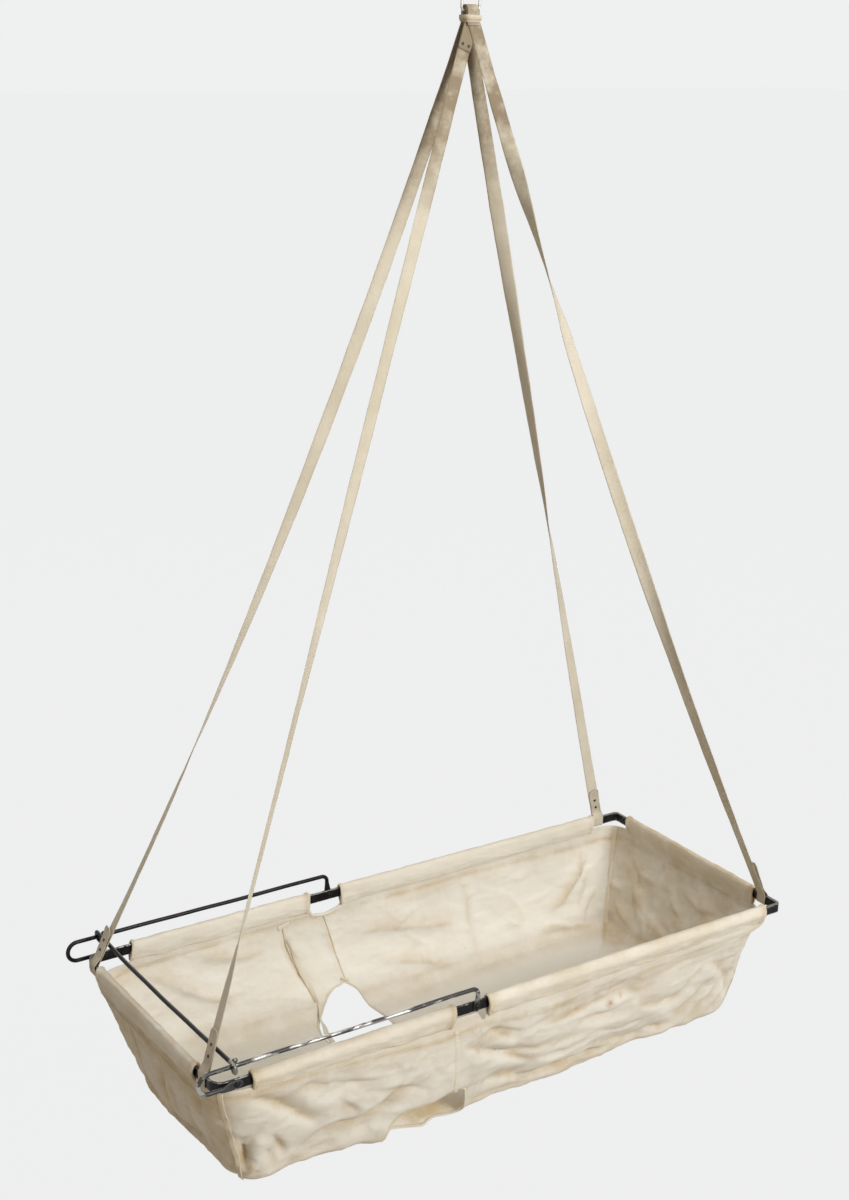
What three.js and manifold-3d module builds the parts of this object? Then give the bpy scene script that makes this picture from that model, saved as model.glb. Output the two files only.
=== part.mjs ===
// A hanging baby cradle: a canvas tub on a steel bar frame, hung by four tape straps from one steel link.
// Millimetres, +Z up. The origin is the point inside the link where a hook bears.
// The cradle's long side runs along X with the rails at its left end, and its near side faces -Y.

import * as THREE from 'three';
import { mergeVertices } from 'three/addons/utils/BufferGeometryUtils.js';
import Module from 'manifold-3d';

const wasm = await Module();
wasm.setup();

// Fits shared by the whole cradle
const seatGap = 0.3; // between pieces that touch
const layerGap = 0.4; // between layers of tape
const overrun = 6; // how far a cut runs past what it cuts

// Hanging link: a ring of round wire, round at the top and square at the foot
const linkWire = 3;
const linkWidth = 26;
const linkInnerLength = 46.5;
const linkFootRadius = 4;

// Cotton tape of the four straps
const tapeWidth = 16;
const tapeThickness = 0.9;
const tapeOverlap = 44; // stretch above the frame where the end is laid back on the strap
const tapeSpread = 9; // height above the bar in which the returned end closes on the strap
const tailBelowBand = 3; // how far a folded top end shows under the lashing
const nailedTail = 40; // the far left strap's folded end, from the link's foot
const strapDrop = 1080; // lashing to the middle of the frame bar

// Lashing round the gathered straps
const bandHeight = 8;
const bandThickness = 1.2;
const bandBelowFoot = 8;

// Nails through the folded tape, and rivets in the strap ends
const nailRadius = 0.9;
const nailHeadRadius = 1.6;
const nailHeadHeight = 0.7;
const nailSpacing = 8;
const nailHeight = 27; // below the lashing
const studRadius = 0.9;
const studHeadRadius = 1.9;
const studHeadHeight = 0.8;
const studSpacing = 12;
const studHeight = 17; // lower stud, above the bar's top edge

// Frame: one flat bar on edge, bent to a ring
const frameLength = 813;
const frameWidth = 332;
const barHeight = 12.7;
const barThickness = 3.2;
const leftCornerRadius = 15;
const rightCornerRadius = 6;

// Rails: round rods that rise over the left half of the long bars
const rodDiameter = 5;
const railRise = 25;
const railFootRise = 1;
const railOverhang = 20;
const railPivotOffset = 70; // left of the frame's middle
const railCornerInset = 26; // from the frame's left end to the corner rivet
const railBendRadius = 8;
const padLength = 15;
const padWidth = 9.5;
const padThickness = 2;
const padTaper = 10;
const padEndShare = 0.55; // of the pad's width, at its rounded end

// Rivets of the rails
const rivetRadius = 1.9;
const rivetHeadRadius = 3.9;
const rivetHeadHeight = 1.8;

// Cross bar that rides on the two rails
const crossDiameter = 5;
const crossInset = 18.5; // from the frame's left end, at rest
const crossSag = 3.5;
const eyeLength = 6.6; // sideways step of the eye's one turn
const eyeTurn = 0.95; // of a full turn
const eyeGap = 1.15;

// Canvas
const canvasThickness = 1.2;
const sleeveDrop = 20; // below the bar's middle
const sleeveHalfWidth = 4.4;
const cuffLength = 5;
const cuffRise = 0.7;
const tubDepth = 147; // below the bar's middle
const tubEndInset = 40;
const tubSideInset = 28;
const tubFoldRadius = 16;
const tubTopCorner = 14;
const tubFootCorner = 42;
const tubSag = 7;
const foldHeight = 5;

// Bare bar at each sleeve's ends, from the frame's corner
const nearBareLeft = 44.5;
const farBareLeft = 58.5;
const nearBareRight = 28.5;
const farBareRight = 40.5;
const pivotGapLeft = 30; // from the rail's pivot to the left sleeve
const pivotGapRight = 16;
const leftBareNear = 45;
const leftBareFar = 40;
const rightBareNear = 46;
const rightBareFar = 29;

// Strap loops, from the frame's corner along the bar that carries each
const nearLeftLoop = 28;
const farLeftLoop = 24;
const nearRightLoop = 32;
const farRightLoop = 26.5;

// Leg openings: the near one is in the wall, the far one runs on into the floor
const nearLegLeft = 176;
const nearLegRight = 74;
const nearLegTop = 114; // below the bar's middle
const farLegApex = 57;
const farLegTop = 127;
const farLegFoldLeft = 82;
const farLegFoldRight = 30;
const farLegLeft = 118;
const farLegRight = 36;
const farLegReach = 62; // of its widest place, from the frame's middle
const farLegEnd = 40;

// Patch sewn over the top of the slit in the far wall
const tabLength = 14;
const tabWidth = 7;
const tabThickness = 1;
const tabPlaceShare = 0.33;
const tabDepthShare = 0.14;

// Facets
const rodSides = 8;
const turnSteps = 6;
const strapSteps = 20;

const frameDrop = linkInnerLength + linkWire / 2 + bandBelowFoot + strapDrop;
const barMidLength = frameLength - barThickness;
const barMidWidth = frameWidth - barThickness;
const footHeight = strapDrop + bandBelowFoot; // the link's foot above the frame bar's middle

const colours = {
  steel: { color: 0x8c8a85, roughness: 0.35, metalness: 0.9 },
  worn: { color: 0x77746e, roughness: 0.4, metalness: 0.85 },
  black: { color: 0x1b1b1c, roughness: 0.45, metalness: 0.4 },
  tape: { color: 0xb3a588, roughness: 0.9, metalness: 0 },
  lashing: { color: 0xc4ad86, roughness: 0.9, metalness: 0 },
  canvas: { color: 0xd9d0bb, roughness: 0.95, metalness: 0 },
  hem: { color: 0xc9b998, roughness: 0.95, metalness: 0 },
};

const product = new THREE.Group();
const cradle = new THREE.Group();
cradle.position.z = -frameDrop;
product.add(cradle);

function addPiece(parent, name, geometry, finish) {
  const mesh = new THREE.Mesh(geometry, new THREE.MeshStandardMaterial(colours[finish]));
  mesh.name = name;
  parent.add(mesh);
  return mesh;
}

// Joins and cuts
function solidOf(geometry) {
  const bare = geometry.clone();
  bare.deleteAttribute('normal');
  bare.deleteAttribute('uv');
  const merged = mergeVertices(bare, 1e-4);
  const vertProperties = Float32Array.from(merged.attributes.position.array);
  const triVerts = Uint32Array.from(merged.index.array);
  return new wasm.Manifold(new wasm.Mesh({ numProp: 3, vertProperties, triVerts }));
}

function geometryOf(solid) {
  const mesh = solid.getMesh();
  const geometry = new THREE.BufferGeometry();
  geometry.setAttribute('position', new THREE.BufferAttribute(Float32Array.from(mesh.vertProperties), 3));
  geometry.setIndex(new THREE.BufferAttribute(Uint32Array.from(mesh.triVerts), 1));
  geometry.computeVertexNormals();
  return geometry;
}

function cutBy(geometry, ...tools) {
  return geometryOf(tools.reduce((solid, tool) => solid.subtract(solidOf(tool)), solidOf(geometry)));
}

function joined(...geometries) {
  const solids = geometries.map(solidOf);
  return geometryOf(solids.slice(1).reduce((sum, solid) => sum.add(solid), solids[0]));
}

function meshFrom(points, triangles) {
  const geometry = new THREE.BufferGeometry();
  const flat = points.flatMap((p) => [p.x, p.y, p.z]);
  geometry.setAttribute('position', new THREE.Float32BufferAttribute(flat, 3));
  geometry.setIndex(triangles);
  geometry.computeVertexNormals();
  return geometry;
}

// A section carried along stations; each station has its centre, two section axes and their half sizes
function sweep(stations, sectionShares, closed = false) {
  const sides = sectionShares.length;
  const points = stations.flatMap((s) => sectionShares.map(([across, out]) =>
    s.centre.clone().addScaledVector(s.wide, across * s.halfWide).addScaledVector(s.thin, out * s.halfThin)));
  const triangles = [];
  const spans = closed ? stations.length : stations.length - 1;
  for (let i = 0; i < spans; i += 1) {
    const here = i * sides;
    const next = ((i + 1) % stations.length) * sides;
    for (let j = 0; j < sides; j += 1) {
      const k = (j + 1) % sides;
      // Both faces of a flat section are split on the same line, so that a twisted tape keeps its thickness
      if (j < sides / 2) triangles.push(here + j, here + k, next + k, here + j, next + k, next + j);
      else triangles.push(here + j, here + k, next + j, here + k, next + k, next + j);
    }
  }
  if (!closed) {
    const last = (stations.length - 1) * sides;
    for (let j = 1; j < sides - 1; j += 1) {
      triangles.push(0, j + 1, j, last, last + j, last + j + 1);
    }
  }
  return meshFrom(points, triangles);
}

const roundShares = Array.from({ length: rodSides }, (_, i) => {
  const angle = ((i + 0.5) / rodSides) * 2 * Math.PI;
  const reach = 1 / Math.cos(Math.PI / rodSides);
  return [reach * Math.cos(angle), reach * Math.sin(angle)];
});
const flatShares = [[-1, -1], [1, -1], [1, 1], [-1, 1]];

// Unit directions along a run of points
function tangentsOf(points, closed = false) {
  const count = points.length;
  return points.map((_, i) => {
    const before = closed ? points[(i + count - 1) % count] : points[Math.max(i - 1, 0)];
    const after = closed ? points[(i + 1) % count] : points[Math.min(i + 1, count - 1)];
    return after.clone().sub(before).normalize();
  });
}

// A rod whose centre line lies in the plane across one axis
function planarRod(points, planeNormal, radius, closed = false) {
  const tangents = tangentsOf(points, closed);
  return sweep(points.map((centre, i) => ({
    centre,
    wide: planeNormal.clone().cross(tangents[i]).normalize(),
    thin: planeNormal.clone(),
    halfWide: radius,
    halfThin: radius,
  })), roundShares, closed);
}

function arcPoints(centre, radius, fromAngle, toAngle, steps, place) {
  return Array.from({ length: steps + 1 }, (_, i) => {
    const angle = fromAngle + ((toAngle - fromAngle) * i) / steps;
    return place(centre[0] + radius * Math.cos(angle), centre[1] + radius * Math.sin(angle));
  });
}

const unitX = new THREE.Vector3(1, 0, 0);
const unitY = new THREE.Vector3(0, 1, 0);
const unitZ = new THREE.Vector3(0, 0, 1);

// Hanging link
function hangingLink() {
  const half = (linkWidth - linkWire) / 2;
  const topCentre = linkWire / 2 - half;
  const foot = -(linkInnerLength + linkWire / 2);
  const place = (x, z) => new THREE.Vector3(x, 0, z);
  const corner = half - linkFootRadius;
  const points = [
    ...arcPoints([0, topCentre], half, 0, Math.PI, 2 * turnSteps, place),
    ...arcPoints([-corner, foot + linkFootRadius], linkFootRadius, Math.PI, 1.5 * Math.PI, 3, place),
    ...arcPoints([corner, foot + linkFootRadius], linkFootRadius, -Math.PI / 2, 0, 3, place),
  ];
  return planarRod(points, unitY.clone().negate(), linkWire / 2, true);
}
addPiece(product, 'hanging_link', hangingLink(), 'steel');

// Frame bar: a flat bar ring with its rivet holes
function roundedRing(halfLong, halfWide, leftRadius, rightRadius) {
  const ring = new THREE.Path();
  ring.moveTo(-halfLong + leftRadius, -halfWide);
  ring.lineTo(halfLong - rightRadius, -halfWide);
  ring.absarc(halfLong - rightRadius, -halfWide + rightRadius, rightRadius, -Math.PI / 2, 0, false);
  ring.lineTo(halfLong, halfWide - rightRadius);
  ring.absarc(halfLong - rightRadius, halfWide - rightRadius, rightRadius, 0, Math.PI / 2, false);
  ring.lineTo(-halfLong + leftRadius, halfWide);
  ring.absarc(-halfLong + leftRadius, halfWide - leftRadius, leftRadius, Math.PI / 2, Math.PI, false);
  ring.lineTo(-halfLong, -halfWide + leftRadius);
  ring.absarc(-halfLong + leftRadius, -halfWide + leftRadius, leftRadius, Math.PI, 1.5 * Math.PI, false);
  return ring;
}

const pivotX = -railPivotOffset;
const cornerRivetX = -frameLength / 2 + railCornerInset;
const rivetPlaces = [[pivotX, 0], [cornerRivetX, railFootRise]];

// A drill along Y through a place on a long bar
function drillAlongY(x, z, radius, side) {
  const drill = new THREE.CylinderGeometry(radius, radius, 2 * overrun + barThickness + padThickness, rodSides * 2);
  drill.translate(x, side * (frameWidth / 2), z);
  return drill;
}

function frameBar() {
  const outer = roundedRing(frameLength / 2, frameWidth / 2, leftCornerRadius, rightCornerRadius);
  const shape = new THREE.Shape(outer.getPoints(turnSteps));
  const inner = roundedRing(frameLength / 2 - barThickness, frameWidth / 2 - barThickness,
    leftCornerRadius - barThickness, rightCornerRadius - barThickness);
  shape.holes.push(new THREE.Path(inner.getPoints(turnSteps)));
  const bar = new THREE.ExtrudeGeometry(shape, { depth: barHeight, bevelEnabled: false });
  bar.translate(0, 0, -barHeight / 2);
  const holes = [-1, 1].flatMap((side) =>
    rivetPlaces.map(([x, z]) => drillAlongY(x, z, rivetRadius + seatGap, side)));
  return cutBy(bar, ...holes);
}
addPiece(cradle, 'frame_bar', frameBar(), 'black');

// Rails: a rod bent in one plane beside the long bar, hammered flat at both ends
const rodRadius = rodDiameter / 2;
const railPlane = frameWidth / 2 + seatGap + rodRadius;
const padPlane = frameWidth / 2 + seatGap + padThickness / 2;
const railBack = -frameLength / 2 - railOverhang;
const backRadius = (railRise - railFootRise) / 2;

function railStations(side) {
  const rod = (x, z) => ({ x, z, flat: 0 });
  const rise = railRise - railBendRadius;
  const place = (x, z) => rod(x, z);
  const backCentre = railBack + backRadius;
  return [
    { x: pivotX, z: -(padWidth + padThickness) / 2, flat: 1, narrow: padEndShare },
    { x: pivotX, z: -padWidth / 4, flat: 1 },
    { x: pivotX, z: padWidth / 2, flat: 1 },
    rod(pivotX, padWidth / 2 + padTaper),
    ...arcPoints([pivotX - railBendRadius, rise], railBendRadius, 0, Math.PI / 2, turnSteps, place),
    ...arcPoints([backCentre, railRise - backRadius], backRadius, Math.PI / 2, 1.5 * Math.PI, 2 * turnSteps, place),
    rod(cornerRivetX - padLength / 2 - padTaper, railFootRise),
    { x: cornerRivetX - padLength / 2, z: railFootRise, flat: 1 },
    { x: cornerRivetX + padLength / 4, z: railFootRise, flat: 1 },
    { x: cornerRivetX + padLength / 2, z: railFootRise, flat: 1, narrow: padEndShare },
  ].map((s) => ({
    ...s,
    centre: new THREE.Vector3(s.x, side * THREE.MathUtils.lerp(railPlane, padPlane, s.flat), s.z),
  }));
}

function rail(side) {
  const stations = railStations(side);
  const tangents = tangentsOf(stations.map((s) => s.centre));
  const planeNormal = unitY.clone();
  const swept = sweep(stations.map((s, i) => ({
    centre: s.centre,
    wide: planeNormal.clone().cross(tangents[i]).normalize(),
    thin: planeNormal,
    halfWide: THREE.MathUtils.lerp(rodRadius, padWidth / 2, s.flat) * (s.narrow ?? 1),
    halfThin: THREE.MathUtils.lerp(rodRadius, padThickness / 2, s.flat),
  })), roundShares);
  const holes = rivetPlaces.map(([x, z]) => drillAlongY(x, z, rivetRadius + seatGap, side));
  return cutBy(swept, ...holes);
}
addPiece(cradle, 'rail_near', rail(-1), 'worn');
addPiece(cradle, 'rail_far', rail(1), 'black');

// Rivet turned about its own axis: a domed head outside, a flat closed head inside
function rivet(radius, headRadius, headHeight, gripLength) {
  const profile = [
    [0, -headHeight / 2],
    [headRadius * 0.85, -headHeight / 2],
    [headRadius * 0.85, 0],
    [radius, 0],
    [radius, gripLength],
    [headRadius, gripLength],
    [headRadius * 0.8, gripLength + headHeight * 0.7],
    [0, gripLength + headHeight],
  ].map(([r, h]) => new THREE.Vector2(r, h));
  return new THREE.LatheGeometry(profile, rodSides);
}

// Sets a turned piece on a point with its head facing a direction
function setOn(mesh, point, direction) {
  mesh.quaternion.setFromUnitVectors(unitY, direction);
  mesh.position.copy(point);
}

const rivetNames = ['pivot', 'corner'];
for (const [side, sideName] of [[-1, 'near'], [1, 'far']]) {
  rivetPlaces.forEach(([x, z], i) => {
    const grip = barThickness + padThickness + 3 * seatGap;
    const body = rivet(rivetRadius, rivetHeadRadius, rivetHeadHeight, grip);
    const mesh = addPiece(cradle, `rail_rivet_${sideName}_${rivetNames[i]}`, body, 'black');
    const inside = side * (frameWidth / 2 - barThickness - seatGap);
    setOn(mesh, new THREE.Vector3(x, inside, z), new THREE.Vector3(0, side, 0));
  });
}

// Cross bar: a rod that sags between the rails, each end turned once round its rail
function crossBar() {
  const rodGap = rodRadius + eyeGap + crossDiameter / 2;
  const eyeHeight = railRise - (eyeGap - seatGap);
  const height = eyeHeight + rodGap;
  const x = -frameLength / 2 + crossInset;
  const eyeSteps = 3 * turnSteps;
  const eye = (side) => Array.from({ length: eyeSteps }, (_, i) => {
    const turn = (i + 1) / eyeSteps;
    const angle = turn * eyeTurn * 2 * Math.PI;
    return new THREE.Vector3(x + eyeLength * turn, side * (railPlane + rodGap * Math.sin(angle)),
      eyeHeight + rodGap * Math.cos(angle));
  });
  const span = Array.from({ length: 2 * turnSteps + 1 }, (_, i) => {
    const share = (i / turnSteps) - 1;
    return new THREE.Vector3(x, share * railPlane, height - crossSag * (1 - share * share));
  });
  const points = [...eye(-1).reverse(), ...span, ...eye(1)];
  const tangents = tangentsOf(points);
  let wide = unitX.clone();
  const stations = points.map((centre, i) => {
    wide = wide.clone().addScaledVector(tangents[i], -wide.dot(tangents[i])).normalize();
    return {
      centre, wide, thin: tangents[i].clone().cross(wide), halfWide: crossDiameter / 2, halfThin: crossDiameter / 2,
    };
  });
  return sweep(stations, roundShares);
}
addPiece(cradle, 'cross_bar', crossBar(), 'black');

// Straps: each tape is laid round its bar, runs up to the link, and folds over the link's foot
const tapePitch = tapeThickness + layerGap;
const endBarX = barMidLength / 2;
const longBarY = barMidWidth / 2;
const strapPlan = {
  near_left: { bar: [-endBarX, nearLeftLoop - frameWidth / 2], main: [1, 0], side: -1, layer: 0, turn: -0.5 },
  far_left: {
    bar: [-endBarX, frameWidth / 2 - farLeftLoop], main: [1, 0], side: 1, layer: 1, turn: 0.5, tail: nailedTail,
  },
  near_right: { bar: [endBarX, nearRightLoop - frameWidth / 2], main: [-1, 0], side: -1, layer: 2, turn: 0.5 },
  far_right: { bar: [frameLength / 2 - farRightLoop, longBarY], main: [0, 1], side: 1, layer: 3, turn: 1 },
};

// The lean of the near left strap just below the lashing, which the nailed tail lies along
function strapLean(plan) {
  return new THREE.Vector3(plan.bar[0], plan.bar[1], -strapDrop).normalize();
}

function strapCourse(plan) {
  const main = new THREE.Vector3(plan.main[0], plan.main[1], 0);
  const along = main.clone().cross(unitZ);
  const bar = new THREE.Vector3(plan.bar[0], plan.bar[1], 0);
  const clear = barThickness / 2 + seatGap + tapeThickness / 2;
  const under = barHeight / 2 + seatGap + tapeThickness / 2;
  const at = (m, z) => bar.clone().addScaledVector(main, m).addScaledVector(unitZ, z);
  const ringRadius = linkWire / 2 + seatGap + tapeThickness / 2 + plan.layer * tapePitch;
  const bandPoint = new THREE.Vector3(0, plan.side * ringRadius, strapDrop);
  const mainFoot = at(clear, barHeight / 2);
  const rise = bandPoint.clone().sub(mainFoot);
  const onMain = (height) => mainFoot.clone().addScaledVector(rise, height / rise.z);
  const layBack = tapePitch * Math.hypot(1, rise.dot(main) / rise.z);
  const onBack = (height) => onMain(height).addScaledVector(main, -layBack);
  const stretch = tapeOverlap - tapeSpread;
  const backShares = [1, 0.66, 0.33, 0];
  const loop = [
    ...backShares.map((share) => onBack(tapeSpread + share * stretch)),
    at(-clear, barHeight / 2),
    at(-clear, 0),
    at(-clear, -barHeight / 2),
    at(-clear / 2, -under),
    at(clear / 2, -under),
    at(clear, -barHeight / 2),
    at(clear, 0),
    mainFoot,
    onMain(tapeSpread),
    onMain(tapeOverlap),
  ];
  const run = Array.from({ length: strapSteps - 1 }, (_, i) =>
    onMain(tapeOverlap + (rise.z - tapeOverlap) * ((i + 1) / strapSteps)));
  const foot = new THREE.Vector3(0, 0, footHeight);
  const fold = arcPoints([0, 0], ringRadius, 0, Math.PI, turnSteps, (across, up) =>
    new THREE.Vector3(0, plan.side * across, foot.z + up));
  // The folded end hangs down the other side, spread as far as the straps under it
  const lean = plan.tail ? strapLean(strapPlan.near_left)
    : new THREE.Vector3(0, -plan.side * longBarY, -strapDrop).normalize();
  const tailLength = plan.tail ? plan.tail - bandBelowFoot : bandHeight / 2 + tailBelowBand;
  const tailStart = new THREE.Vector3(0, -plan.side * ringRadius, strapDrop);
  const tail = [0, 0.5, 1].map((share) =>
    tailStart.clone().addScaledVector(lean, (share * tailLength) / -lean.z));
  return { points: [...loop, ...run, bandPoint, ...fold, ...tail], loopCount: loop.length, along, ringRadius };
}

function strapStations(plan) {
  const { points, loopCount, along } = strapCourse(plan);
  const tangents = tangentsOf(points);
  const topWide = unitX.clone();
  const startAngle = plan.turn * Math.PI;
  const runEnd = loopCount + strapSteps - 1;
  // The tape starts square to its bar and has turned to face across the link at the lashing
  const base = along.clone();
  const reference = topWide.clone().applyAxisAngle(unitZ, startAngle);
  const sense = Math.sign(reference.dot(base)) || 1;
  return points.map((centre, i) => {
    const share = THREE.MathUtils.clamp((i - loopCount + 1) / (runEnd - loopCount + 1), 0, 1);
    const eased = share < 0.9 ? THREE.MathUtils.smoothstep(share, 0, 0.9) : 1;
    const wide = topWide.clone().applyAxisAngle(unitZ, startAngle * (1 - eased)).multiplyScalar(sense);
    wide.addScaledVector(tangents[i], -wide.dot(tangents[i])).normalize();
    return {
      centre, wide, thin: tangents[i].clone().cross(wide), halfWide: tapeWidth / 2, halfThin: tapeThickness / 2,
    };
  });
}

// Studs go through both layers of a strap's overlap, square to the tape
function studPlaces(plan) {
  const { points } = strapCourse(plan);
  const foot = points[11];
  const top = points[13];
  const direction = top.clone().sub(foot).normalize();
  const main = new THREE.Vector3(plan.main[0], plan.main[1], 0);
  const outward = main.clone().cross(unitZ).cross(direction).normalize();
  if (outward.dot(main) > 0) outward.negate();
  return [0, 1].map((i) => {
    const point = foot.clone().addScaledVector(direction, (studHeight + i * studSpacing) / direction.z);
    return { point, outward };
  });
}

function drillAlong(point, direction, radius, length) {
  const drill = new THREE.CylinderGeometry(radius, radius, length, rodSides);
  drill.applyQuaternion(new THREE.Quaternion().setFromUnitVectors(unitY, direction));
  drill.translate(point.x, point.y, point.z);
  return drill;
}

// Nails side by side through the near left strap and the far left strap's folded end
function nailPlaces() {
  const course = strapCourse(strapPlan.near_left);
  const top = new THREE.Vector3(0, -course.ringRadius, strapDrop);
  const lean = strapLean(strapPlan.near_left);
  const point = top.addScaledVector(lean, nailHeight / -lean.z);
  const across = unitX.clone().addScaledVector(lean, -lean.x).normalize();
  const outward = lean.clone().cross(across).normalize();
  if (outward.y > 0) outward.negate();
  return [-1, 1].map((side) => ({
    point: point.clone().addScaledVector(across, (side * nailSpacing) / 2), outward,
  }));
}

for (const [name, plan] of Object.entries(strapPlan)) {
  const studs = studPlaces(plan);
  const drills = studs.map(({ point, outward }) =>
    drillAlong(point, outward, studRadius + seatGap, 2 * overrun));
  if (name.endsWith('left')) {
    nailPlaces().forEach(({ point, outward }) =>
      drills.push(drillAlong(point, outward, nailRadius + seatGap, 2 * overrun)));
  }
  const tape = sweep(strapStations(plan), flatShares);
  addPiece(cradle, `strap_${name}`, cutBy(tape, ...drills), 'tape');
  studs.forEach(({ point, outward }, i) => {
    const grip = tapeThickness + tapePitch + 2 * seatGap;
    const body = rivet(studRadius, studHeadRadius, studHeadHeight, grip);
    const mesh = addPiece(cradle, `strap_stud_${name}_${i + 1}`, body, 'black');
    const inside = point.clone().addScaledVector(outward, -tapeThickness / 2 - seatGap);
    setOn(mesh, inside, outward);
  });
}

nailPlaces().forEach(({ point, outward }, i) => {
  const grip = tapeThickness + tapePitch + 2 * seatGap;
  const body = rivet(nailRadius, nailHeadRadius, nailHeadHeight, grip);
  const mesh = addPiece(cradle, `strap_nail_${i + 1}`, body, 'black');
  setOn(mesh, point.clone().addScaledVector(outward, -tapeThickness / 2 - seatGap), outward);
});

// Lashing: a band of tape round all the layers
function roundedBlock(halfX, halfY, radius) {
  const outline = new THREE.Path();
  outline.moveTo(halfX, -halfY + radius);
  outline.lineTo(halfX, halfY - radius);
  outline.absarc(halfX - radius, halfY - radius, radius, 0, Math.PI / 2, false);
  outline.lineTo(-halfX + radius, halfY);
  outline.absarc(-halfX + radius, halfY - radius, radius, Math.PI / 2, Math.PI, false);
  outline.lineTo(-halfX, -halfY + radius);
  outline.absarc(-halfX + radius, -halfY + radius, radius, Math.PI, 1.5 * Math.PI, false);
  outline.lineTo(halfX - radius, -halfY);
  outline.absarc(halfX - radius, -halfY + radius, radius, 1.5 * Math.PI, 2 * Math.PI, false);
  return outline.getPoints(3);
}

function lashingBand() {
  const outerLayer = linkWire / 2 + seatGap + tapeThickness + 3 * tapePitch;
  const lean = (endBarX / strapDrop) * (bandHeight / 2);
  const leanNear = (longBarY / strapDrop) * (bandHeight / 2);
  const halfX = tapeWidth / 2 + lean + 2 * seatGap;
  const halfY = outerLayer + leanNear + seatGap;
  const shape = new THREE.Shape(roundedBlock(halfX + bandThickness, halfY + bandThickness, bandThickness * 1.5));
  shape.holes.push(new THREE.Path(roundedBlock(halfX, halfY, bandThickness / 4)));
  const band = new THREE.ExtrudeGeometry(shape, { depth: bandHeight, bevelEnabled: false });
  band.translate(0, 0, strapDrop - bandHeight / 2);
  return band;
}
addPiece(cradle, 'lashing_band', lashingBand(), 'lashing');

// Hem sleeves: a folded strip of canvas round the bar, full above and pinched where it is sewn below
const sleeveOutlineShares = [
  [0.27, -1], [0.62, -0.72], [1, -0.2], [0.98, 0.12], [0.72, 0.36], [0, 0.44],
];

function sleeveShape(rise) {
  const half = sleeveHalfWidth + rise;
  const outer = sleeveOutlineShares.map(([w, h]) =>
    new THREE.Vector2(w * half, h * sleeveDrop + (h > 0 ? rise : 0)));
  const other = outer.filter((p) => p.x > 0).reverse().map((p) => new THREE.Vector2(-p.x, p.y));
  const shape = new THREE.Shape([...outer, ...other]);
  const halfBar = barThickness / 2 + seatGap;
  const topBar = barHeight / 2 + seatGap;
  const hole = new THREE.Path();
  hole.moveTo(0, -sleeveDrop + 4 * canvasThickness);
  hole.lineTo(-halfBar, -topBar);
  hole.lineTo(-halfBar, topBar);
  hole.lineTo(halfBar, topBar);
  hole.lineTo(halfBar, -topBar);
  shape.holes.push(hole);
  return shape;
}

// A sleeve from one place to another along +X of its own frame
function sleeve(from, to) {
  const body = new THREE.ExtrudeGeometry(sleeveShape(0), { depth: to - from, bevelEnabled: false });
  const cuff = new THREE.ExtrudeGeometry(sleeveShape(cuffRise), { depth: cuffLength, bevelEnabled: false });
  const farCuff = cuff.clone().translate(0, 0, to - from - cuffLength);
  const whole = joined(body, cuff, farCuff);
  // The section's width becomes the bar's across direction and its height becomes up
  whole.applyMatrix4(new THREE.Matrix4().makeBasis(unitY.clone(), unitZ.clone(), unitX.clone()));
  whole.translate(from, 0, 0);
  return whole;
}

function addSleeve(name, from, to, offset, alongX) {
  const holder = new THREE.Group();
  holder.rotation.z = alongX ? 0 : Math.PI / 2;
  holder.position.set(alongX ? 0 : offset, alongX ? offset : 0, 0);
  cradle.add(holder);
  addPiece(holder, name, sleeve(from, to), 'hem');
}
const halfLength = frameLength / 2;
const halfWidth = frameWidth / 2;
addSleeve('sleeve_near_left', nearBareLeft - halfLength, pivotX - pivotGapLeft, -longBarY, true);
addSleeve('sleeve_near_right', pivotX + pivotGapRight, halfLength - nearBareRight, -longBarY, true);
addSleeve('sleeve_far_left', farBareLeft - halfLength, pivotX - pivotGapLeft, longBarY, true);
addSleeve('sleeve_far_right', pivotX + pivotGapRight, halfLength - farBareRight, longBarY, true);
addSleeve('sleeve_left_end', leftBareNear - halfWidth, halfWidth - leftBareFar, -endBarX, false);
addSleeve('sleeve_right_end', rightBareNear - halfWidth, halfWidth - rightBareFar, endBarX, false);

// Canvas tub: a rounded rectangle that narrows with depth, and turns under to meet the floor
const cornerColumns = 3;
const wallRows = 8;
const turnRows = 2;
const wallTop = sleeveDrop + seatGap;
const seamTurn = Math.PI / 4;

const walls = {
  near: { out: [0, -1], along: [1, 0], half: longBarY, reach: endBarX, columns: 16 },
  right: { out: [1, 0], along: [0, 1], half: endBarX, reach: longBarY, columns: 7 },
  far: { out: [0, 1], along: [-1, 0], half: longBarY, reach: endBarX, columns: 16 },
  left: { out: [-1, 0], along: [0, -1], half: endBarX, reach: longBarY, columns: 7 },
};

// Main folds of each wall: place along it, half width, lean towards the foot, and height, as shares
const wallFoldShares = {
  near: [[0.1, 0.05, 0.12, -0.9], [0.24, 0.06, 0.22, 0.9], [0.47, 0.05, -0.06, -0.7], [0.62, 0.07, 0.2, 0.8],
    [0.8, 0.05, 0.16, -0.9], [0.92, 0.05, -0.08, 0.8]],
  right: [[0.28, 0.1, 0.1, 0.9], [0.62, 0.08, -0.1, -0.9], [0.84, 0.06, 0.04, 0.8]],
  far: [[0.08, 0.05, -0.04, -1], [0.2, 0.06, 0.1, 0.7], [0.42, 0.09, -0.1, -0.5], [0.7, 0.05, -0.08, 0.5],
    [0.86, 0.08, 0.1, -0.6]],
  left: [[0.25, 0.09, 0.06, 0.8], [0.52, 0.08, -0.05, -0.6], [0.78, 0.09, 0.05, 0.8]],
};

function foldAt(shares, u, v) {
  const fade = Math.sin(Math.PI * v) * Math.sin(Math.PI * u);
  return shares.reduce((sum, [place, width, lean, height]) => {
    const away = (u - place - lean * (v - 0.5)) / width;
    return sum + height * Math.exp(-away * away);
  }, 0) * foldHeight * fade;
}

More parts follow.
